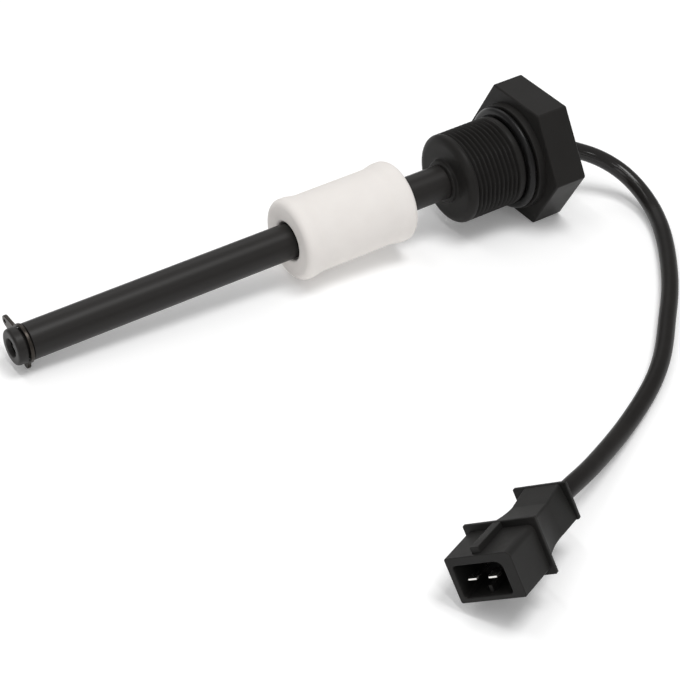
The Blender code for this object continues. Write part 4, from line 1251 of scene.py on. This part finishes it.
# %% Mouth, key and the ways for terminals and cable
MOUTH = (-0.0077, 0.0054, -0.0047, 0.0036)
MOUTH_DEPTH = 0.0108
MOUTH_LIP = 0.0003
MOUTH_CORNER = 0.0008
MOUTH_WIDE_CORNER = 0.0020
TAB_CENTRE = -0.0013
TAB_HEIGHT = -0.0003
TAB_PITCH = 0.0055


def mouth_outline(outset):
    left, right, bottom, top = MOUTH
    sides = (left - outset, right + outset, bottom - outset, top + outset)
    return rounded_box(*sides, MOUTH_CORNER + outset, 6, MOUTH_WIDE_CORNER + outset)


def mouth_core():
    """The core that leaves the mouth, wider at its front by the rounded lip."""
    angles = (0.0, 0.52, 1.05, math.pi / 2)
    steps = [(MOUTH_LIP * (1 - math.cos(a)), MOUTH_LIP * (1 - math.sin(a))) for a in angles]
    sections = [along_y(mouth_outline(MOUTH_LIP), -PAST_END)]
    sections += [along_y(mouth_outline(outset), depth) for depth, outset in steps]
    sections.append(along_y(mouth_outline(0.0), MOUTH_DEPTH))
    return lofted("mouth_core", sections)


def pin(name, across, up, radius, start, end):
    """A round core along the connector's axis."""
    circle = arc((across, up), radius, 0.0, math.tau, 48)[:-1]
    return lofted(name, [along_y(circle, start), along_y(circle, end)])


OVERLAP = 0.0003
KEY_HALF = 0.0005
KEY_HEIGHT = 0.0017
KEY_START = 0.0020
KEY_CORNER = 0.00015
SLOT_HALF_WIDTH = 0.0017
SLOT_HALF_HEIGHT = 0.0007
SLOT_END = 0.0126
CHANNEL_RADIUS = 0.00165
CHANNEL_END = 0.0178
CHAMBER_START = 0.0175
CHAMBER_WIDE_HALF = 0.00415
CHAMBER_NARROW_HALF = 0.0025
CHAMBER_BOTTOM, CHAMBER_TOP = -0.0024, 0.0020
CHAMBER_CORNER = 0.0004
SEAT_RADIUS = 0.0035
SEAT_DEPTH = 0.0009

mouth = mouth_core()
cut(housing, mouth)
key_box = (TAB_CENTRE - KEY_HALF, TAB_CENTRE + KEY_HALF, MOUTH[2] - OVERLAP, MOUTH[2] + KEY_HEIGHT)
key_rib = soft_bar("key_rib", key_box, KEY_START, MOUTH_DEPTH + OVERLAP, KEY_CORNER, round_end=False)
join(housing, key_rib)
cores = []
for number, across in ((1, TAB_CENTRE - TAB_PITCH / 2), (2, TAB_CENTRE + TAB_PITCH / 2)):
    slot = rounded_box(
        across - SLOT_HALF_WIDTH, across + SLOT_HALF_WIDTH,
        TAB_HEIGHT - SLOT_HALF_HEIGHT, TAB_HEIGHT + SLOT_HALF_HEIGHT, RIB_CORNER,
    )
    cores.append(lofted(f"slot_{number}", [along_y(slot, MOUTH_DEPTH - OVERLAP), along_y(slot, SLOT_END)]))
    way_start = SLOT_END - OVERLAP
    cores.append(pin(f"channel_{number}", across, TAB_HEIGHT, CHANNEL_RADIUS, way_start, CHANNEL_END))
chamber_ends = (
    (CHAMBER_START, TAB_CENTRE, CHAMBER_WIDE_HALF),
    (CHAMBER_END, CABLE_ENTRY[0], CHAMBER_NARROW_HALF),
)
chamber_sections = []
for depth, middle, half in chamber_ends:
    outline = rounded_box(middle - half, middle + half, CHAMBER_BOTTOM, CHAMBER_TOP, CHAMBER_CORNER)
    chamber_sections.append(along_y(outline, depth))
cores.append(lofted("core_chamber", chamber_sections))
outside = CONNECTOR_END + PAST_END
cores.append(pin("cable_hole", *CABLE_ENTRY, CABLE_HOLE_RADIUS, CHAMBER_END - OVERLAP, outside))
cores.append(pin("seal_seat", *CABLE_ENTRY, SEAT_RADIUS, CONNECTOR_END - SEAT_DEPTH, outside))
for core in cores:
    cut(housing, core)
print("cores that hollow the housing:", len(cores) + 1)

# %% [markdown]
# All those joins and cuts are still modifiers. They could stay live, but the export wants plain meshes, so
# one step settles them into one mesh at its place and takes the tools away.

# %% The finished housing
used_tools = (front_flange, latch_rib, neck, rear_flange, mouth, key_rib, *cores)
connector_shell = settle(housing, connector_frame, connector_nylon, used_tools, MOULDING_CREASE)
show(connector_shell, "root", "connector", "connector_housing")
print("housing faces:", len(connector_shell.data.polygons))

# %% [markdown]
# ## Cable seal
# A rubber ring closes the gap between the cable and the housing. A flat washer would do, but the rubber is
# squeezed from the side when the cable is pushed through it. So its face is turned with a slight crown.

# %% The seal in the rear flange
SEAL_DEPTH = 0.0006
SEAL_CROWN = 0.0007
SEAL_CROWN_RADIUS = 0.0030
SEAL_RADIUS = 0.0034
SEAL_SQUEEZE = 0.0002
SEAL_GRIP_RADIUS = CABLE_HOLE_RADIUS - SEAL_SQUEEZE
SEAL_CORNER = 0.0001
seal_profile = softened([
    (0.0, SEAL_GRIP_RADIUS), (0.0, SEAL_RADIUS), (SEAL_DEPTH, SEAL_RADIUS), (SEAL_CROWN, SEAL_CROWN_RADIUS),
    (SEAL_DEPTH, SEAL_GRIP_RADIUS),
], SEAL_CORNER)
seal_turn = Matrix.Rotation(math.pi / 2, 4, "Z")
seal_origin = (CABLE_ENTRY[0], CONNECTOR_END - SEAL_DEPTH, CABLE_ENTRY[1])
seal_place = connector_frame @ Matrix.Translation(seal_origin) @ seal_turn
seal = settle(turned("entry_seal", seal_profile, SMALL_SIDES), seal_place, nitrile)
show(seal, "root", "rubber", "cable_seal")

# %% [markdown]
# ## Finishes of the CAD pieces that stay
# The tabs, the cores and the pieces inside the stem and the float already have their real shape. They could
# be made again, but nothing would be gained, so they keep their CAD mesh and only get a finish of their
# own.

# %% Give each kept CAD piece its finish
KEPT = {
    "float_magnet": ferrite,
    "reed_switch": switch_glass,
    "reed_lead_1": tin_plate,
    "reed_lead_2": tin_plate,
    "circuit_strip": solder_mask,
    "core_wire_1": brown_pvc,
    "core_wire_2": blue_pvc,
    "tab_terminal_1": tin_plate,
    "tab_terminal_2": tin_plate,
    "core_tail_1": brown_pvc,
    "core_tail_2": blue_pvc,
}
for name, finish in KEPT.items():
    frame["nodes"][name].material_slots[0].material = finish
print("kept CAD pieces:", len(KEPT))
